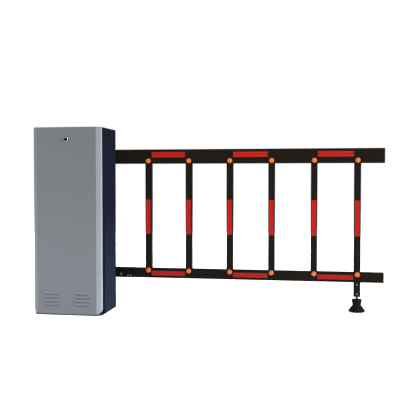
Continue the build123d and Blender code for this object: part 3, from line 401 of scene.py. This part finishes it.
SCREW_STEEL = metal("screw_steel", (0.30, 0.30, 0.30), 0.42, scale=200.0)
BEZEL_CHROME = metal("bezel_chrome", (0.80, 0.80, 0.81), 0.28, scale=60.0, marks=0.02)
BORDER_BLACK = plastic("border_black", (0.0030, 0.0052, 0.0052), 0.50, specular=0.10)

# Nodes whose finish differs from that of their slot
OWN_FINISH = {
    "lock_barrel": BORDER_BLACK,
    "lock_plug": BORDER_BLACK,
    "lower_rail_reflectors": LOW_RED_FILM,
    "lower_rail_bracket": BRACKET_COAT,
    "leg_tube": BAR_COAT,
}
for number in range(1, BAR_COUNT + 1):
    OWN_FINISH[f"bar_{number}"] = BAR_COAT
    OWN_FINISH[f"bar_{number}_reflectors"] = BAR_RED_FILM

for part in frame["record"]["subparts"]:
    node = frame["nodes"][part["node"]]
    finish = OWN_FINISH.get(part["node"], MATERIALS[part["material_slot"]])
    if not node.data.materials:
        node.data.materials.append(finish)
    for index in range(len(node.data.materials)):
        node.data.materials[index] = finish


# ---------------------------------------------------------------- mesh helpers
FRONT = Matrix.Rotation(math.radians(90), 4, "X")
REAR = Matrix.Rotation(math.radians(-90), 4, "X")
UP = Matrix.Identity(4)


def at(place, turn=UP):
    """Local Z turned by turn, at place."""
    return Matrix.Translation(Vector(place)) @ turn


def add_lathe(mesh, profile, where, segments=40):
    """Turned form: profile holds (radius, height) pairs along local Z, from the axis or rim outwards."""
    rings = []
    for radius, height in profile:
        if radius < 1e-7:
            rings.append([mesh.verts.new(where @ Vector((0, 0, height)))])
            continue
        ring = []
        for step in range(segments):
            angle = 2 * math.pi * step / segments
            spot = Vector((radius * math.cos(angle), radius * math.sin(angle), height))
            ring.append(mesh.verts.new(where @ spot))
        rings.append(ring)
    for below, above in zip(rings, rings[1:]):
        for step in range(segments):
            after = (step + 1) % segments
            corners = [below[step % len(below)], below[after % len(below)]]
            corners += [above[after % len(above)], above[step % len(above)]]
            unique = list(dict.fromkeys(corners))
            if len(unique) > 2:
                mesh.faces.new(unique)


def add_prism(mesh, outline, low, high, where):
    """Closed prism: outline holds local XY points, from low to high along local Z."""
    lower = [mesh.verts.new(where @ Vector((x, y, low))) for x, y in outline]
    upper = [mesh.verts.new(where @ Vector((x, y, high))) for x, y in outline]
    mesh.faces.new(list(reversed(lower)))
    mesh.faces.new(upper)
    for i in range(len(outline)):
        j = (i + 1) % len(outline)
        mesh.faces.new((lower[i], lower[j], upper[j], upper[i]))


def polygon(radius, sides):
    step = 2 * math.pi / sides
    return [(radius * math.cos(i * step), radius * math.sin(i * step)) for i in range(sides)]


def add_hex_head(mesh, radius, height, where, washer, washer_height):
    """Hexagon head with a chamfered top, on a washer of its own radius and height."""
    add_lathe(mesh, [(0, 0), (washer, 0), (washer, washer_height), (0, washer_height)], where, 28)
    middle = washer_height + height * 0.5
    shoulder = washer_height + height * 0.86
    top = washer_height + height
    add_prism(mesh, polygon(radius, 6), washer_height, shoulder, where)
    inside = [(0, middle), (radius * 0.86, middle)]
    dome = [(radius * 0.90, shoulder), (radius * 0.80, top), (0, top)]
    add_lathe(mesh, inside + dome, where, 24)


def add_pan_head(mesh, radius, height, where):
    """Pan head with a round recess in its middle."""
    head = [(0, 0), (radius, 0), (radius, height * 0.35), (radius * 0.88, height * 0.80)]
    head += [(radius * 0.55, height), (radius * 0.30, height)]
    recess = [(radius * 0.22, height * 0.45), (0, height * 0.40)]
    add_lathe(mesh, head + recess, where, 28)


def finish_piece(mesh, name, body, slot, material=None, smooth=True, bevel=0.0, replaces=()):
    """Turns a bmesh into a shown piece that rides on a body."""
    bmesh.ops.recalc_face_normals(mesh, faces=mesh.faces)
    data = bpy.data.meshes.new(name)
    mesh.to_mesh(data)
    mesh.free()
    piece = bpy.data.objects.new(name, data)
    scene.collection.objects.link(piece)
    data.materials.append(material or MATERIALS[slot])
    if bevel:
        softened = piece.modifiers.new("bevel", "BEVEL")
        softened.width = bevel
        softened.segments = 2
        softened.limit_method = "ANGLE"
    if smooth:
        for face in data.polygons:
            face.use_smooth = True
        data.set_sharp_from_angle(angle=math.radians(35))
    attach(piece, body)
    if replaces:
        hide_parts(*replaces)
    return piece


# ---------------------------------------------------------------- fence: caps, pins, borders, screws, foot
CAP_PROFILE = [
    (0, 0.0068),
    (0.0030, 0.0068),
    (0.0040, 0.0060),
    (0.0052, 0.0060),
    (0.0062, 0.0070),
    (0.0095, 0.0066),
    (0.0122, 0.0052),
    (0.0136, 0.0034),
    (CAP_RADIUS, 0.0012),
    (CAP_RADIUS, 0.0),
    (0, 0),
]
CAP_SEAT_RADIUS = 0.0170
CAP_SEAT_HEIGHT = 0.0012
CAP_SEAT_LIP = 0.0006


def pivot_caps(name, body, pivot_z, node, orange):
    """Domed orange caps, each with a ring pressed round its middle, on black seats."""
    caps = bmesh.new()
    seats = bmesh.new()
    rim = CAP_SEAT_RADIUS
    for x in BAR_X:
        where = at((x, RAIL_FRONT, pivot_z), FRONT)
        add_lathe(caps, CAP_PROFILE, where @ Matrix.Translation((0, 0, CAP_SEAT_HEIGHT)))
        lip = CAP_SEAT_HEIGHT + CAP_SEAT_LIP
        seat = [(0, 0), (rim, 0), (rim, CAP_SEAT_HEIGHT), (rim - 0.0008, lip)]
        add_lathe(seats, seat + [(CAP_RADIUS - 0.0002, lip), (0, CAP_SEAT_HEIGHT)], where)
    finish_piece(caps, name, body, "orange_plastic", orange, replaces=(node,))
    finish_piece(seats, name + "_seats", body, "black_plastic", BORDER_BLACK)


pivot_caps("boom_cap_domes", "boom", TOP_PIVOT_Z, "boom_pivot_caps", MATERIALS["orange_plastic"])
pivot_caps("lower_cap_domes", "lower_rail_body", LOW_PIVOT_Z, "lower_pivot_caps", LOW_ORANGE)

PIVOT_PIN_RADIUS = 0.0050
PIVOT_NUT_RADIUS = 0.0088
PIVOT_NUT_HEIGHT = 0.0048
PIVOT_WASHER_RADIUS = 0.0098
PIN_END_PROFILE = [(0, 0.0040), (0.0038, 0.0040), (0.0038, 0.0068), (0.0032, 0.0074), (0, 0.0074)]
WASHER_HEIGHT = 0.0012


def pivot_pins(name, body, pivot_z, node):
    """Pins through a rail at every bar, each with a washer, a nut and a short threaded end behind."""
    pins = bmesh.new()
    reach = RAIL_FRONT - RAIL_REAR
    pin = [(0, reach), (PIVOT_PIN_RADIUS, reach), (PIVOT_PIN_RADIUS, 0.0005), (0, 0.0005)]
    for x in BAR_X:
        behind = at((x, RAIL_REAR, pivot_z), REAR)
        add_lathe(pins, pin, behind, 20)
        add_hex_head(pins, PIVOT_NUT_RADIUS, PIVOT_NUT_HEIGHT, behind, PIVOT_WASHER_RADIUS, WASHER_HEIGHT)
        add_lathe(pins, PIN_END_PROFILE, behind, 20)
    finish_piece(pins, name, body, "zinc_steel", replaces=(node,))


pivot_pins("boom_pivot_pins", "boom", TOP_PIVOT_Z, "boom_pivot_bolts")
pivot_pins("lower_pivot_pins", "lower_rail_body", LOW_PIVOT_Z, "lower_pivot_bolts")

BORDER_HEIGHT = 0.0018
RAIL_BORDER_WIDTH = 0.0050
RAIL_BORDER_LAP = 0.0010
BAR_BORDER_WIDTH = 0.0052
BAR_BORDER_LAP = 0.0022


def add_border(mesh, low, high, width, facing_front, surface_y):
    """Rectangular frame round a film strip, with low and high as its (x, z) inner corners."""
    sign = -1 if facing_front else 1
    outer = [(low[0] - width, low[1] - width), (high[0] + width, low[1] - width)]
    outer += [(high[0] + width, high[1] + width), (low[0] - width, high[1] + width)]
    inner = [(low[0], low[1]), (high[0], low[1]), (high[0], high[1]), (low[0], high[1])]
    levels = (surface_y, surface_y + sign * BORDER_HEIGHT)
    loops = []
    for outline in (outer, inner):
        loops.append([[mesh.verts.new((x, y, z)) for x, z in outline] for y in levels])
    (outer_back, outer_face), (inner_back, inner_face) = loops
    for i in range(4):
        j = (i + 1) % 4
        mesh.faces.new((outer_face[i], outer_face[j], inner_face[j], inner_face[i]))
        mesh.faces.new((outer_back[i], inner_back[i], inner_back[j], outer_back[j]))
        mesh.faces.new((outer_back[i], outer_back[j], outer_face[j], outer_face[i]))
        mesh.faces.new((inner_back[i], inner_face[i], inner_face[j], inner_back[j]))


def borders(name, body, strips, width, faces_y):
    """Black borders round strips, on the front and on the rear face."""
    mesh = bmesh.new()
    for low, high in strips:
        add_border(mesh, low, high, width, True, faces_y[0])
        add_border(mesh, low, high, width, False, faces_y[1])
    finish_piece(mesh, name, body, "black_plastic", BORDER_BLACK, smooth=False)


def rail_strips(node):
    """Inner corners of the borders round a rail's three strips, each lapping over the film's long edges."""
    low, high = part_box(node)
    length = high.x - low.x - 4 * BAR_PITCH
    bottom = low.z + RAIL_BORDER_LAP
    top = high.z - RAIL_BORDER_LAP
    starts = [low.x + 2 * BAR_PITCH * index for index in range(3)]
    return [((start, bottom), (start + length, top)) for start in starts]


RAIL_FACES = (RAIL_FRONT, RAIL_REAR)
boom_strips = rail_strips("boom_reflectors")
lower_strips = rail_strips("lower_rail_reflectors")
borders("boom_strip_borders", "boom", boom_strips, RAIL_BORDER_WIDTH, RAIL_FACES)
borders("lower_strip_borders", "lower_rail_body", lower_strips, RAIL_BORDER_WIDTH, RAIL_FACES)
for number in range(1, BAR_COUNT + 1):
    strip_low, strip_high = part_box(f"bar_{number}_reflectors")
    bar_low, bar_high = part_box(f"bar_{number}")
    strip = ((strip_low.x + BAR_BORDER_LAP, strip_low.z), (strip_high.x - BAR_BORDER_LAP, strip_high.z))
    bar_faces = (bar_low.y, bar_high.y)
    borders(f"bar_{number}_borders", f"bar_{number}_body", [strip], BAR_BORDER_WIDTH, bar_faces)

# End caps: full height beside the slot, cut down across it, so that the last bar can fold past
CAP_THICKNESS = 0.003
CHEEK = 0.0024
CAP_CORNER = 0.0022
CAP_CUT = 0.0075
RAIL_WALL = 0.0028
PLUG_LENGTH = 0.012
BOOM_CHAMBER_DEPTH = 0.0345
LOWER_CHAMBER_HEIGHT = 0.0155


def end_cap_outline(low_z, high_z, slot_edge):
    """Outline of a cap in Y and Z, with slot_edge -1 where the rail's slot opens downwards, 1 upwards."""
    front, rear, corner = RAIL_FRONT, RAIL_REAR, CAP_CORNER
    closed, opened = (high_z, low_z) if slot_edge < 0 else (low_z, high_z)
    inward = -slot_edge
    return [
        (front, opened - slot_edge * corner),
        (front + corner * 0.4, opened),
        (front + CHEEK, opened),
        (front + CHEEK, opened + inward * CAP_CUT),
        (rear - CHEEK, opened + inward * CAP_CUT),
        (rear - CHEEK, opened),
        (rear - corner * 0.4, opened),
        (rear, opened - slot_edge * corner),
        (rear, closed - inward * corner),
        (rear - corner, closed),
        (front + corner, closed),
        (front, closed - inward * corner),
    ]


def end_cap(mesh, x, outward, low_z, high_z, slot_edge, chamber):
    """Cap plate on a rail's end, and the plug that holds it in the closed chamber."""
    turn = Matrix(((0, 0, outward, x), (1, 0, 0, 0), (0, 1, 0, 0), (0, 0, 0, 1)))
    add_prism(mesh, end_cap_outline(low_z, high_z, slot_edge), 0, CAP_THICKNESS, turn)
    plug_low, plug_high = chamber
    front = RAIL_FRONT + RAIL_WALL
    rear = RAIL_REAR - RAIL_WALL
    plug = [(front, plug_low), (rear, plug_low), (rear, plug_high), (front, plug_high)]
    add_prism(mesh, plug, -PLUG_LENGTH, 0, turn)


def finish_end_caps(mesh, name, body, node):
    """Shows a rail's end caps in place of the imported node."""
    finish_piece(mesh, name, body, "black_plastic", smooth=False, bevel=0.0006, replaces=(node,))


boom_ends = bmesh.new()
boom_chamber = (rail_high.z - BOOM_CHAMBER_DEPTH, rail_high.z - RAIL_WALL)
for x, outward in ((rail_low.x, -1), (rail_high.x, 1)):
    end_cap(boom_ends, x, outward, rail_low.z, rail_high.z, -1, boom_chamber)
finish_end_caps(boom_ends, "boom_notched_end_caps", "boom", "boom_end_caps")
lower_ends = bmesh.new()
lower_chamber = (low_rail_low.z + RAIL_WALL, low_rail_low.z + LOWER_CHAMBER_HEIGHT)
end_cap(lower_ends, low_rail_high.x, 1, low_rail_low.z, low_rail_high.z, 1, lower_chamber)
finish_end_caps(lower_ends, "lower_notched_end_cap", "lower_rail_body", "lower_rail_end_cap")

# Lower rail's end bracket: a large screw and two smaller ones on each cheek, as (x, drop, radius),
# with drop measured down from the rail's middle
BRACKET_SCREWS = ((0.206, 0.008, 0.0075), (0.247, 0.014, 0.0050), (0.264, 0.014, 0.0050))
BRACKET_SCREW_HEIGHT = 0.003
cheek_low, cheek_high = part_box("lower_rail_bracket")
rail_middle_z = middle_z("lower_rail")
fixings = bmesh.new()
for x, drop, radius in BRACKET_SCREWS:
    for y, turn in ((cheek_low.y, FRONT), (cheek_high.y, REAR)):
        add_pan_head(fixings, radius, BRACKET_SCREW_HEIGHT, at((x, y, rail_middle_z - drop), turn))
finish_piece(
    fixings,
    "bracket_screw_heads",
    "lower_rail_body",
    "zinc_steel",
    SCREW_STEEL,
    replaces=("lower_rail_screws",),
)

# Two screws in each face of the leg, at shares of its height
LEG_SCREW_SHARES = (0.20, 0.86)
LEG_SCREW_RADIUS = 0.0040
LEG_SCREW_HEIGHT = 0.0022
leg_low, leg_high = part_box("leg_tube")
LEG_X = (leg_low.x + leg_high.x) / 2
leg_screws = bmesh.new()
for share in LEG_SCREW_SHARES:
    z = leg_low.z + share * (leg_high.z - leg_low.z)
    for y, turn in ((leg_low.y, FRONT), (leg_high.y, REAR)):
        add_pan_head(leg_screws, LEG_SCREW_RADIUS, LEG_SCREW_HEIGHT, at((LEG_X, y, z), turn))
finish_piece(leg_screws, "leg_screw_heads", "lower_rail_body", "zinc_steel", SCREW_STEEL)

# Rubber foot: collar that narrows to a waist, flared skirt, rounded sole
foot_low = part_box("rubber_foot")[0]
FOOT_PROFILE = [
    (0, 0.0),
    (0.0240, 0.0002),
    (0.0360, 0.0012),
    (0.0430, 0.0036),
    (0.0455, 0.0062),
    (0.0459, 0.0076),
    (0.0453, 0.0088),
    (0.0236, 0.0385),
    (0.0227, 0.0405),
    (0.0230, 0.0425),
    (0.0277, 0.0655),
    (0.0280, 0.0682),
    (0.0274, 0.0695),
    (0.0260, 0.0700),
    (0.0062, 0.0700),
    (0.0062, 0.0420),
    (0, 0.0420),
]
foot = bmesh.new()
add_lathe(foot, FOOT_PROFILE, at((LEG_X, FENCE_Y, foot_low.z)), 64)
finish_piece(foot, "flared_foot", "foot", "seal_rubber", replaces=("rubber_foot",))

# Threaded rod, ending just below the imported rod's top
THREAD_PITCH = 0.00175
ROD_TOP_GAP = 0.0004
rod_low, rod_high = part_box("foot_rod")
ROD_RADIUS = (rod_high.x - rod_low.x) / 2
rod = bmesh.new()
profile = [(0, rod_low.z)]
z = rod_low.z
while z < rod_high.z - THREAD_PITCH:
    profile += [(ROD_RADIUS * 0.88, z), (ROD_RADIUS * 0.995, z + THREAD_PITCH / 2)]
    z += THREAD_PITCH
profile += [(ROD_RADIUS * 0.85, rod_high.z - ROD_TOP_GAP), (0, rod_high.z - ROD_TOP_GAP)]
add_lathe(rod, profile, at((LEG_X, FENCE_Y, 0)), 24)
finish_piece(rod, "threaded_rod", "foot", "zinc_steel", MATERIALS["black_plastic"], replaces=("foot_rod",))

# ---------------------------------------------------------------- cover lock
BEZEL_PROFILE = [
    (0.0098, 0.0001),
    (0.0099, 0.0018),
    (0.0102, 0.0024),
    (0.0106, 0.0026),
    (0.0112, 0.0023),
    (0.0117, 0.0017),
    (0.0121, 0.0010),
    (0.0124, 0.0001),
]
lock_face_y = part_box("lock_barrel")[0].y
bezel = bmesh.new()
add_lathe(bezel, BEZEL_PROFILE + [BEZEL_PROFILE[0]], at((0, lock_face_y, middle_z("lock_plug")), FRONT), 56)
finish_piece(bezel, "lock_bezel", "cover", "lock_chrome", BEZEL_CHROME)

# ---------------------------------------------------------------- hardware on the cabinet's back
FLANGE_FACE_Y = 0.155
LOW_PLATE_FACE_Y = 0.151
PLATE_BOLT_RADIUS = 0.0075
PLATE_BOLT_HEIGHT = 0.0055
PLATE_BOLT_WASHER = 0.0090
PLATE_WASHER_HEIGHT = 0.0016
CLAMP_BOLT_RADIUS = 0.0066
CLAMP_BOLT_WASHER = 0.0082

# Half the spacing of each plate's four bolts, in X and in Z
BEARING_SPREAD = (0.036, 0.036)
LOW_PLATE_SPREAD = (0.033, 0.038)
CLAMP_SPREAD = (0.060, 0.0465)


def four_bolts(middle, spread, radius, height, washer, washer_height):
    """Hexagon heads facing the rear, on washers, at the four corners that lie spread away from middle."""
    mesh = bmesh.new()
    for side_x in (-1, 1):
        for side_z in (-1, 1):
            spot = (middle[0] + side_x * spread[0], middle[1], middle[2] + side_z * spread[1])
            add_hex_head(mesh, radius, height, at(spot, REAR), washer, washer_height)
    return mesh


plate_bolt = (PLATE_BOLT_RADIUS, PLATE_BOLT_HEIGHT, PLATE_BOLT_WASHER, PLATE_WASHER_HEIGHT)
bearing_bolts = four_bolts((0, FLANGE_FACE_Y, SHAFT_Z), BEARING_SPREAD, *plate_bolt)
finish_piece(bearing_bolts, "rear_bearing_bolts", "cabinet", "zinc_steel")

pivot_bolts = four_bolts((0, LOW_PLATE_FACE_Y, LOW_PIN_Z), LOW_PLATE_SPREAD, *plate_bolt)
finish_piece(pivot_bolts, "lower_pivot_bolts_on_cabinet", "cabinet", "zinc_steel")

clamp_low, clamp_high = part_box("clamp_bolts")
clamp_middle = ((clamp_low.x + clamp_high.x) / 2, clamp_low.y, SHAFT_Z)
clamp_height = clamp_high.y - clamp_low.y - WASHER_HEIGHT
clamp_bolt = (CLAMP_BOLT_RADIUS, clamp_height, CLAMP_BOLT_WASHER, WASHER_HEIGHT)
clamp_heads = four_bolts(clamp_middle, CLAMP_SPREAD, *clamp_bolt)
finish_piece(clamp_heads, "clamp_bolt_heads", "boom", "zinc_steel", replaces=("clamp_bolts",))

PIN_NUT_RADIUS = 0.0160
PIN_NUT_WASHER = 0.0172
nut_low, nut_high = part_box("lower_pivot_nut")
pin_nut = bmesh.new()
nut_height = nut_high.y - nut_low.y - WASHER_HEIGHT
pin_place = at((0, nut_low.y, LOW_PIN_Z), REAR)
add_hex_head(pin_nut, PIN_NUT_RADIUS, nut_height, pin_place, PIN_NUT_WASHER, WASHER_HEIGHT)
finish_piece(pin_nut, "lower_pivot_lock_nut", "cabinet", "zinc_steel", replaces=("lower_pivot_nut",))

# ---------------------------------------------------------------- gearmotor: cover screws, fan cowl
GEAR_SCREW_CIRCLE = 0.034
GEAR_SCREW_RADIUS = 0.0048
GEAR_SCREW_HEIGHT = 0.0036
GEAR_WASHER_RADIUS = 0.0058
GEAR_WASHER_HEIGHT = 0.0008
gear_face_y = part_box("gearbox_housing")[0].y
gear_screws = bmesh.new()
for corner in range(4):
    angle = math.radians(45 + 90 * corner)
    across = GEAR_SCREW_CIRCLE * math.cos(angle)
    above = GEAR_SCREW_CIRCLE * math.sin(angle)
    where = at((across, gear_face_y, SHAFT_Z + above), FRONT)
    screw = (GEAR_SCREW_RADIUS, GEAR_SCREW_HEIGHT, where, GEAR_WASHER_RADIUS, GEAR_WASHER_HEIGHT)
    add_hex_head(gear_screws, *screw)
finish_piece(gear_screws, "gear_cover_screws", "cabinet", "zinc_steel")

cowl_low, cowl_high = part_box("motor_fan_cover")
cowl_middle = (cowl_low + cowl_high) / 2
cowl_radius = (cowl_high.x - cowl_low.x) / 2
cowl_height = cowl_high.z - cowl_low.z
cowl = bmesh.new()
cowl_profile = [
    (0, 0.0030),
    (cowl_radius * 0.30, 0.0030),
    (cowl_radius * 0.34, 0.0),
    (cowl_radius * 0.80, 0.0),
    (cowl_radius * 0.93, 0.0022),
    (cowl_radius * 0.985, 0.0070),
    (cowl_radius * 0.985, cowl_height - 0.0100),
    (cowl_radius, cowl_height - 0.0085),
    (cowl_radius, cowl_height - 0.0045),
    (cowl_radius * 0.985, cowl_height - 0.0030),
    (cowl_radius * 0.985, cowl_height),
    (0, cowl_height),
]
add_lathe(cowl, cowl_profile, at((cowl_middle.x, cowl_middle.y, cowl_low.z)), 56)
finish_piece(cowl, "motor_fan_cowl", "cabinet", "black_plastic", replaces=("motor_fan_cover",))

# ---------------------------------------------------------------- balance springs as coils
spring_low, spring_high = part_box("balance_springs")
anchor_low, anchor_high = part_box("spring_anchor")
SPRING_X = (spring_low.x + spring_high.x) / 2
SPRING_YS = (0.066, 0.114)
ANCHOR_Z = (anchor_low.z + anchor_high.z) / 2
WIRE_RADIUS = 0.0026
COIL_RADIUS = 0.0142
HOOK_RADIUS = 0.0124


def add_tube(mesh, points, radius, sides=8):
    """Round wire along a list of points, closed at both ends."""
    rings = []
    side = None
    for index, point in enumerate(points):
        before = points[max(index - 1, 0)]
        after = points[min(index + 1, len(points) - 1)]
        along = (after - before).normalized()
        if side is None:
            side = along.orthogonal().normalized()
        side = (side - along * side.dot(along)).normalized()
        other = along.cross(side)
        ring = []
        for step in range(sides):
            angle = 2 * math.pi * step / sides
            ring.append(mesh.verts.new(point + radius * (math.cos(angle) * side + math.sin(angle) * other)))
        rings.append(ring)
    for near, far in zip(rings, rings[1:]):
        for step in range(sides):
            after = (step + 1) % sides
            mesh.faces.new((near[step], near[after], far[after], far[step]))
    mesh.faces.new(list(reversed(rings[0])))
    mesh.faces.new(rings[-1])


HOOK_STEPS = 16
HOOK_TURN = 310
HOOK_LEAD = 15
COIL_STEPS = 14
COIL_FROM_EYE = 0.027
SHANK = 0.006


def hook_point(x, y, eye_z, degrees):
    """Point on a hook's loop, with 0 below the pin, 90 beside it towards +X and 180 above it."""
    angle = math.radians(degrees)
    return Vector((x + HOOK_RADIUS * math.sin(angle), y, eye_z - HOOK_RADIUS * math.cos(angle)))


def spring_path(x, y, low_eye, high_eye):
    """Hook round the lower pin, coil, hook round the upper pin, as one line of points."""
    coil_low = low_eye + COIL_FROM_EYE
    coil_high = high_eye - COIL_FROM_EYE
    turns = round((coil_high - coil_low) / (2 * WIRE_RADIUS * 1.02))
    coil_points = turns * COIL_STEPS
    steps = [HOOK_LEAD + HOOK_TURN * step / HOOK_STEPS for step in range(HOOK_STEPS + 1)]
    points = [hook_point(x, y, low_eye, 180 + HOOK_LEAD + degrees) for degrees in steps]
    points.append(Vector((x, y, coil_low - SHANK)))
    for step in range(coil_points + 1):
        angle = 2 * math.pi * step / COIL_STEPS
        z = coil_low + (coil_high - coil_low) * step / coil_points
        points.append(Vector((x + COIL_RADIUS * math.cos(angle), y + COIL_RADIUS * math.sin(angle), z)))
    points.append(Vector((x, y, coil_high + SHANK)))
    return points + [hook_point(x, y, high_eye, degrees) for degrees in steps]


wires = bmesh.new()
for spring_y in SPRING_YS:
    add_tube(wires, spring_path(SPRING_X, spring_y, ANCHOR_Z, SHAFT_Z), WIRE_RADIUS)
coils = finish_piece(wires, "balance_spring_coils", "springs", "spring_steel", replaces=("balance_springs",))
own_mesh(coils)

# ---------------------------------------------------------------- floor, light, camera
floor_mesh = bmesh.new()
bmesh.ops.create_grid(floor_mesh, x_segments=1, y_segments=1, size=12)
floor_data = bpy.data.meshes.new("floor")
floor_mesh.to_mesh(floor_data)
floor_mesh.free()
floor = bpy.data.objects.new("floor", floor_data)
scene.collection.objects.link(floor)
floor_finish = Finish("floor_white", (0.56, 0.56, 0.56), 0.9, specular=0.0)
floor_finish.vary(0.004, 2.0)
floor_finish.shader.inputs["Emission Color"].default_value = (1, 1, 1, 1)
floor_finish.shader.inputs["Emission Strength"].default_value = 0.62
floor_data.materials.append(floor_finish.mat)

# White surround; reflections see it dimmed, as they would see the dark flags round a product shot.
WORLD_SEEN = 1.0
WORLD_LIGHT = 0.72
WORLD_REFLECTED = 0.30
world = bpy.data.worlds.new("studio")
world.use_nodes = True
sky = world.node_tree.nodes["Background"]
sky.inputs["Color"].default_value = (1, 1, 1, 1)
rays = world.node_tree.nodes.new("ShaderNodeLightPath")
lit = world.node_tree.nodes.new("ShaderNodeMapRange")
world.node_tree.links.new(rays.outputs["Is Glossy Ray"], lit.inputs["Value"])
lit.inputs["To Min"].default_value = WORLD_LIGHT
lit.inputs["To Max"].default_value = WORLD_REFLECTED
seen = world.node_tree.nodes.new("ShaderNodeMapRange")
world.node_tree.links.new(rays.outputs["Is Camera Ray"], seen.inputs["Value"])
world.node_tree.links.new(lit.outputs[0], seen.inputs["To Min"])
seen.inputs["To Max"].default_value = WORLD_SEEN
world.node_tree.links.new(seen.outputs[0], sky.inputs["Strength"])
scene.world = world


def area_light(name, place, target, size, power, glint=False):
    lamp = bpy.data.lights.new(name, "AREA")
    lamp.shape = "RECTANGLE"
    lamp.size, lamp.size_y = size
    lamp.energy = power
    holder = bpy.data.objects.new(name, lamp)
    holder.visible_glossy = glint
    holder.visible_diffuse = not glint
    holder.visible_camera = False
    holder.location = place
    holder.rotation_euler = (Vector(target) - Vector(place)).to_track_quat("-Z", "Y").to_euler()
    scene.collection.objects.link(holder)


# The strong soft lights shade the forms; the two glints beside them are only what gloss and chrome reflect.
area_light("right_soft", (16.4, -3.75, 3.2), (0.1, 0.0, 0.7), (6.5, 7.5), 6900)
area_light("left_soft", (-3.6, -1.4, 1.2), (-0.1, 0.0, 0.6), (1.4, 2.2), 115)
area_light("top_soft", (0.6, -1.2, 4.6), (0.5, 0.0, 0.4), (3.0, 1.6), 120)
area_light("rear_soft", (-0.8, 5.2, 2.4), (0.3, 0.0, 0.6), (3.0, 2.0), 300)
area_light("right_glint", (4.6, -2.2, 5.6), (0.1, 0.0, 0.7), (2.2, 2.4), 440, glint=True)
area_light("left_glint", (-3.6, -1.6, 1.4), (-0.1, 0.0, 0.6), (1.0, 2.0), 5, glint=True)

# The camera was fitted to the cabinet's corners and the fence's pivots in the picture.
CAMERA_PLACE = (1.305, -3.687, 0.730)
CAMERA_YAW = math.radians(9.41)
CAMERA_PITCH = math.radians(1.79)
FOCAL_PIXELS = 700
IMAGE_WIDTH = 400
camera_data = bpy.data.cameras.new("camera")
camera_data.sensor_width = 36
camera_data.lens = camera_data.sensor_width * FOCAL_PIXELS / IMAGE_WIDTH
camera = bpy.data.objects.new("camera", camera_data)
camera.location = CAMERA_PLACE
camera.rotation_euler = (math.radians(90) - CAMERA_PITCH, 0, CAMERA_YAW)
scene.collection.objects.link(camera)
scene.camera = camera
scene.view_settings.view_transform = "Standard"
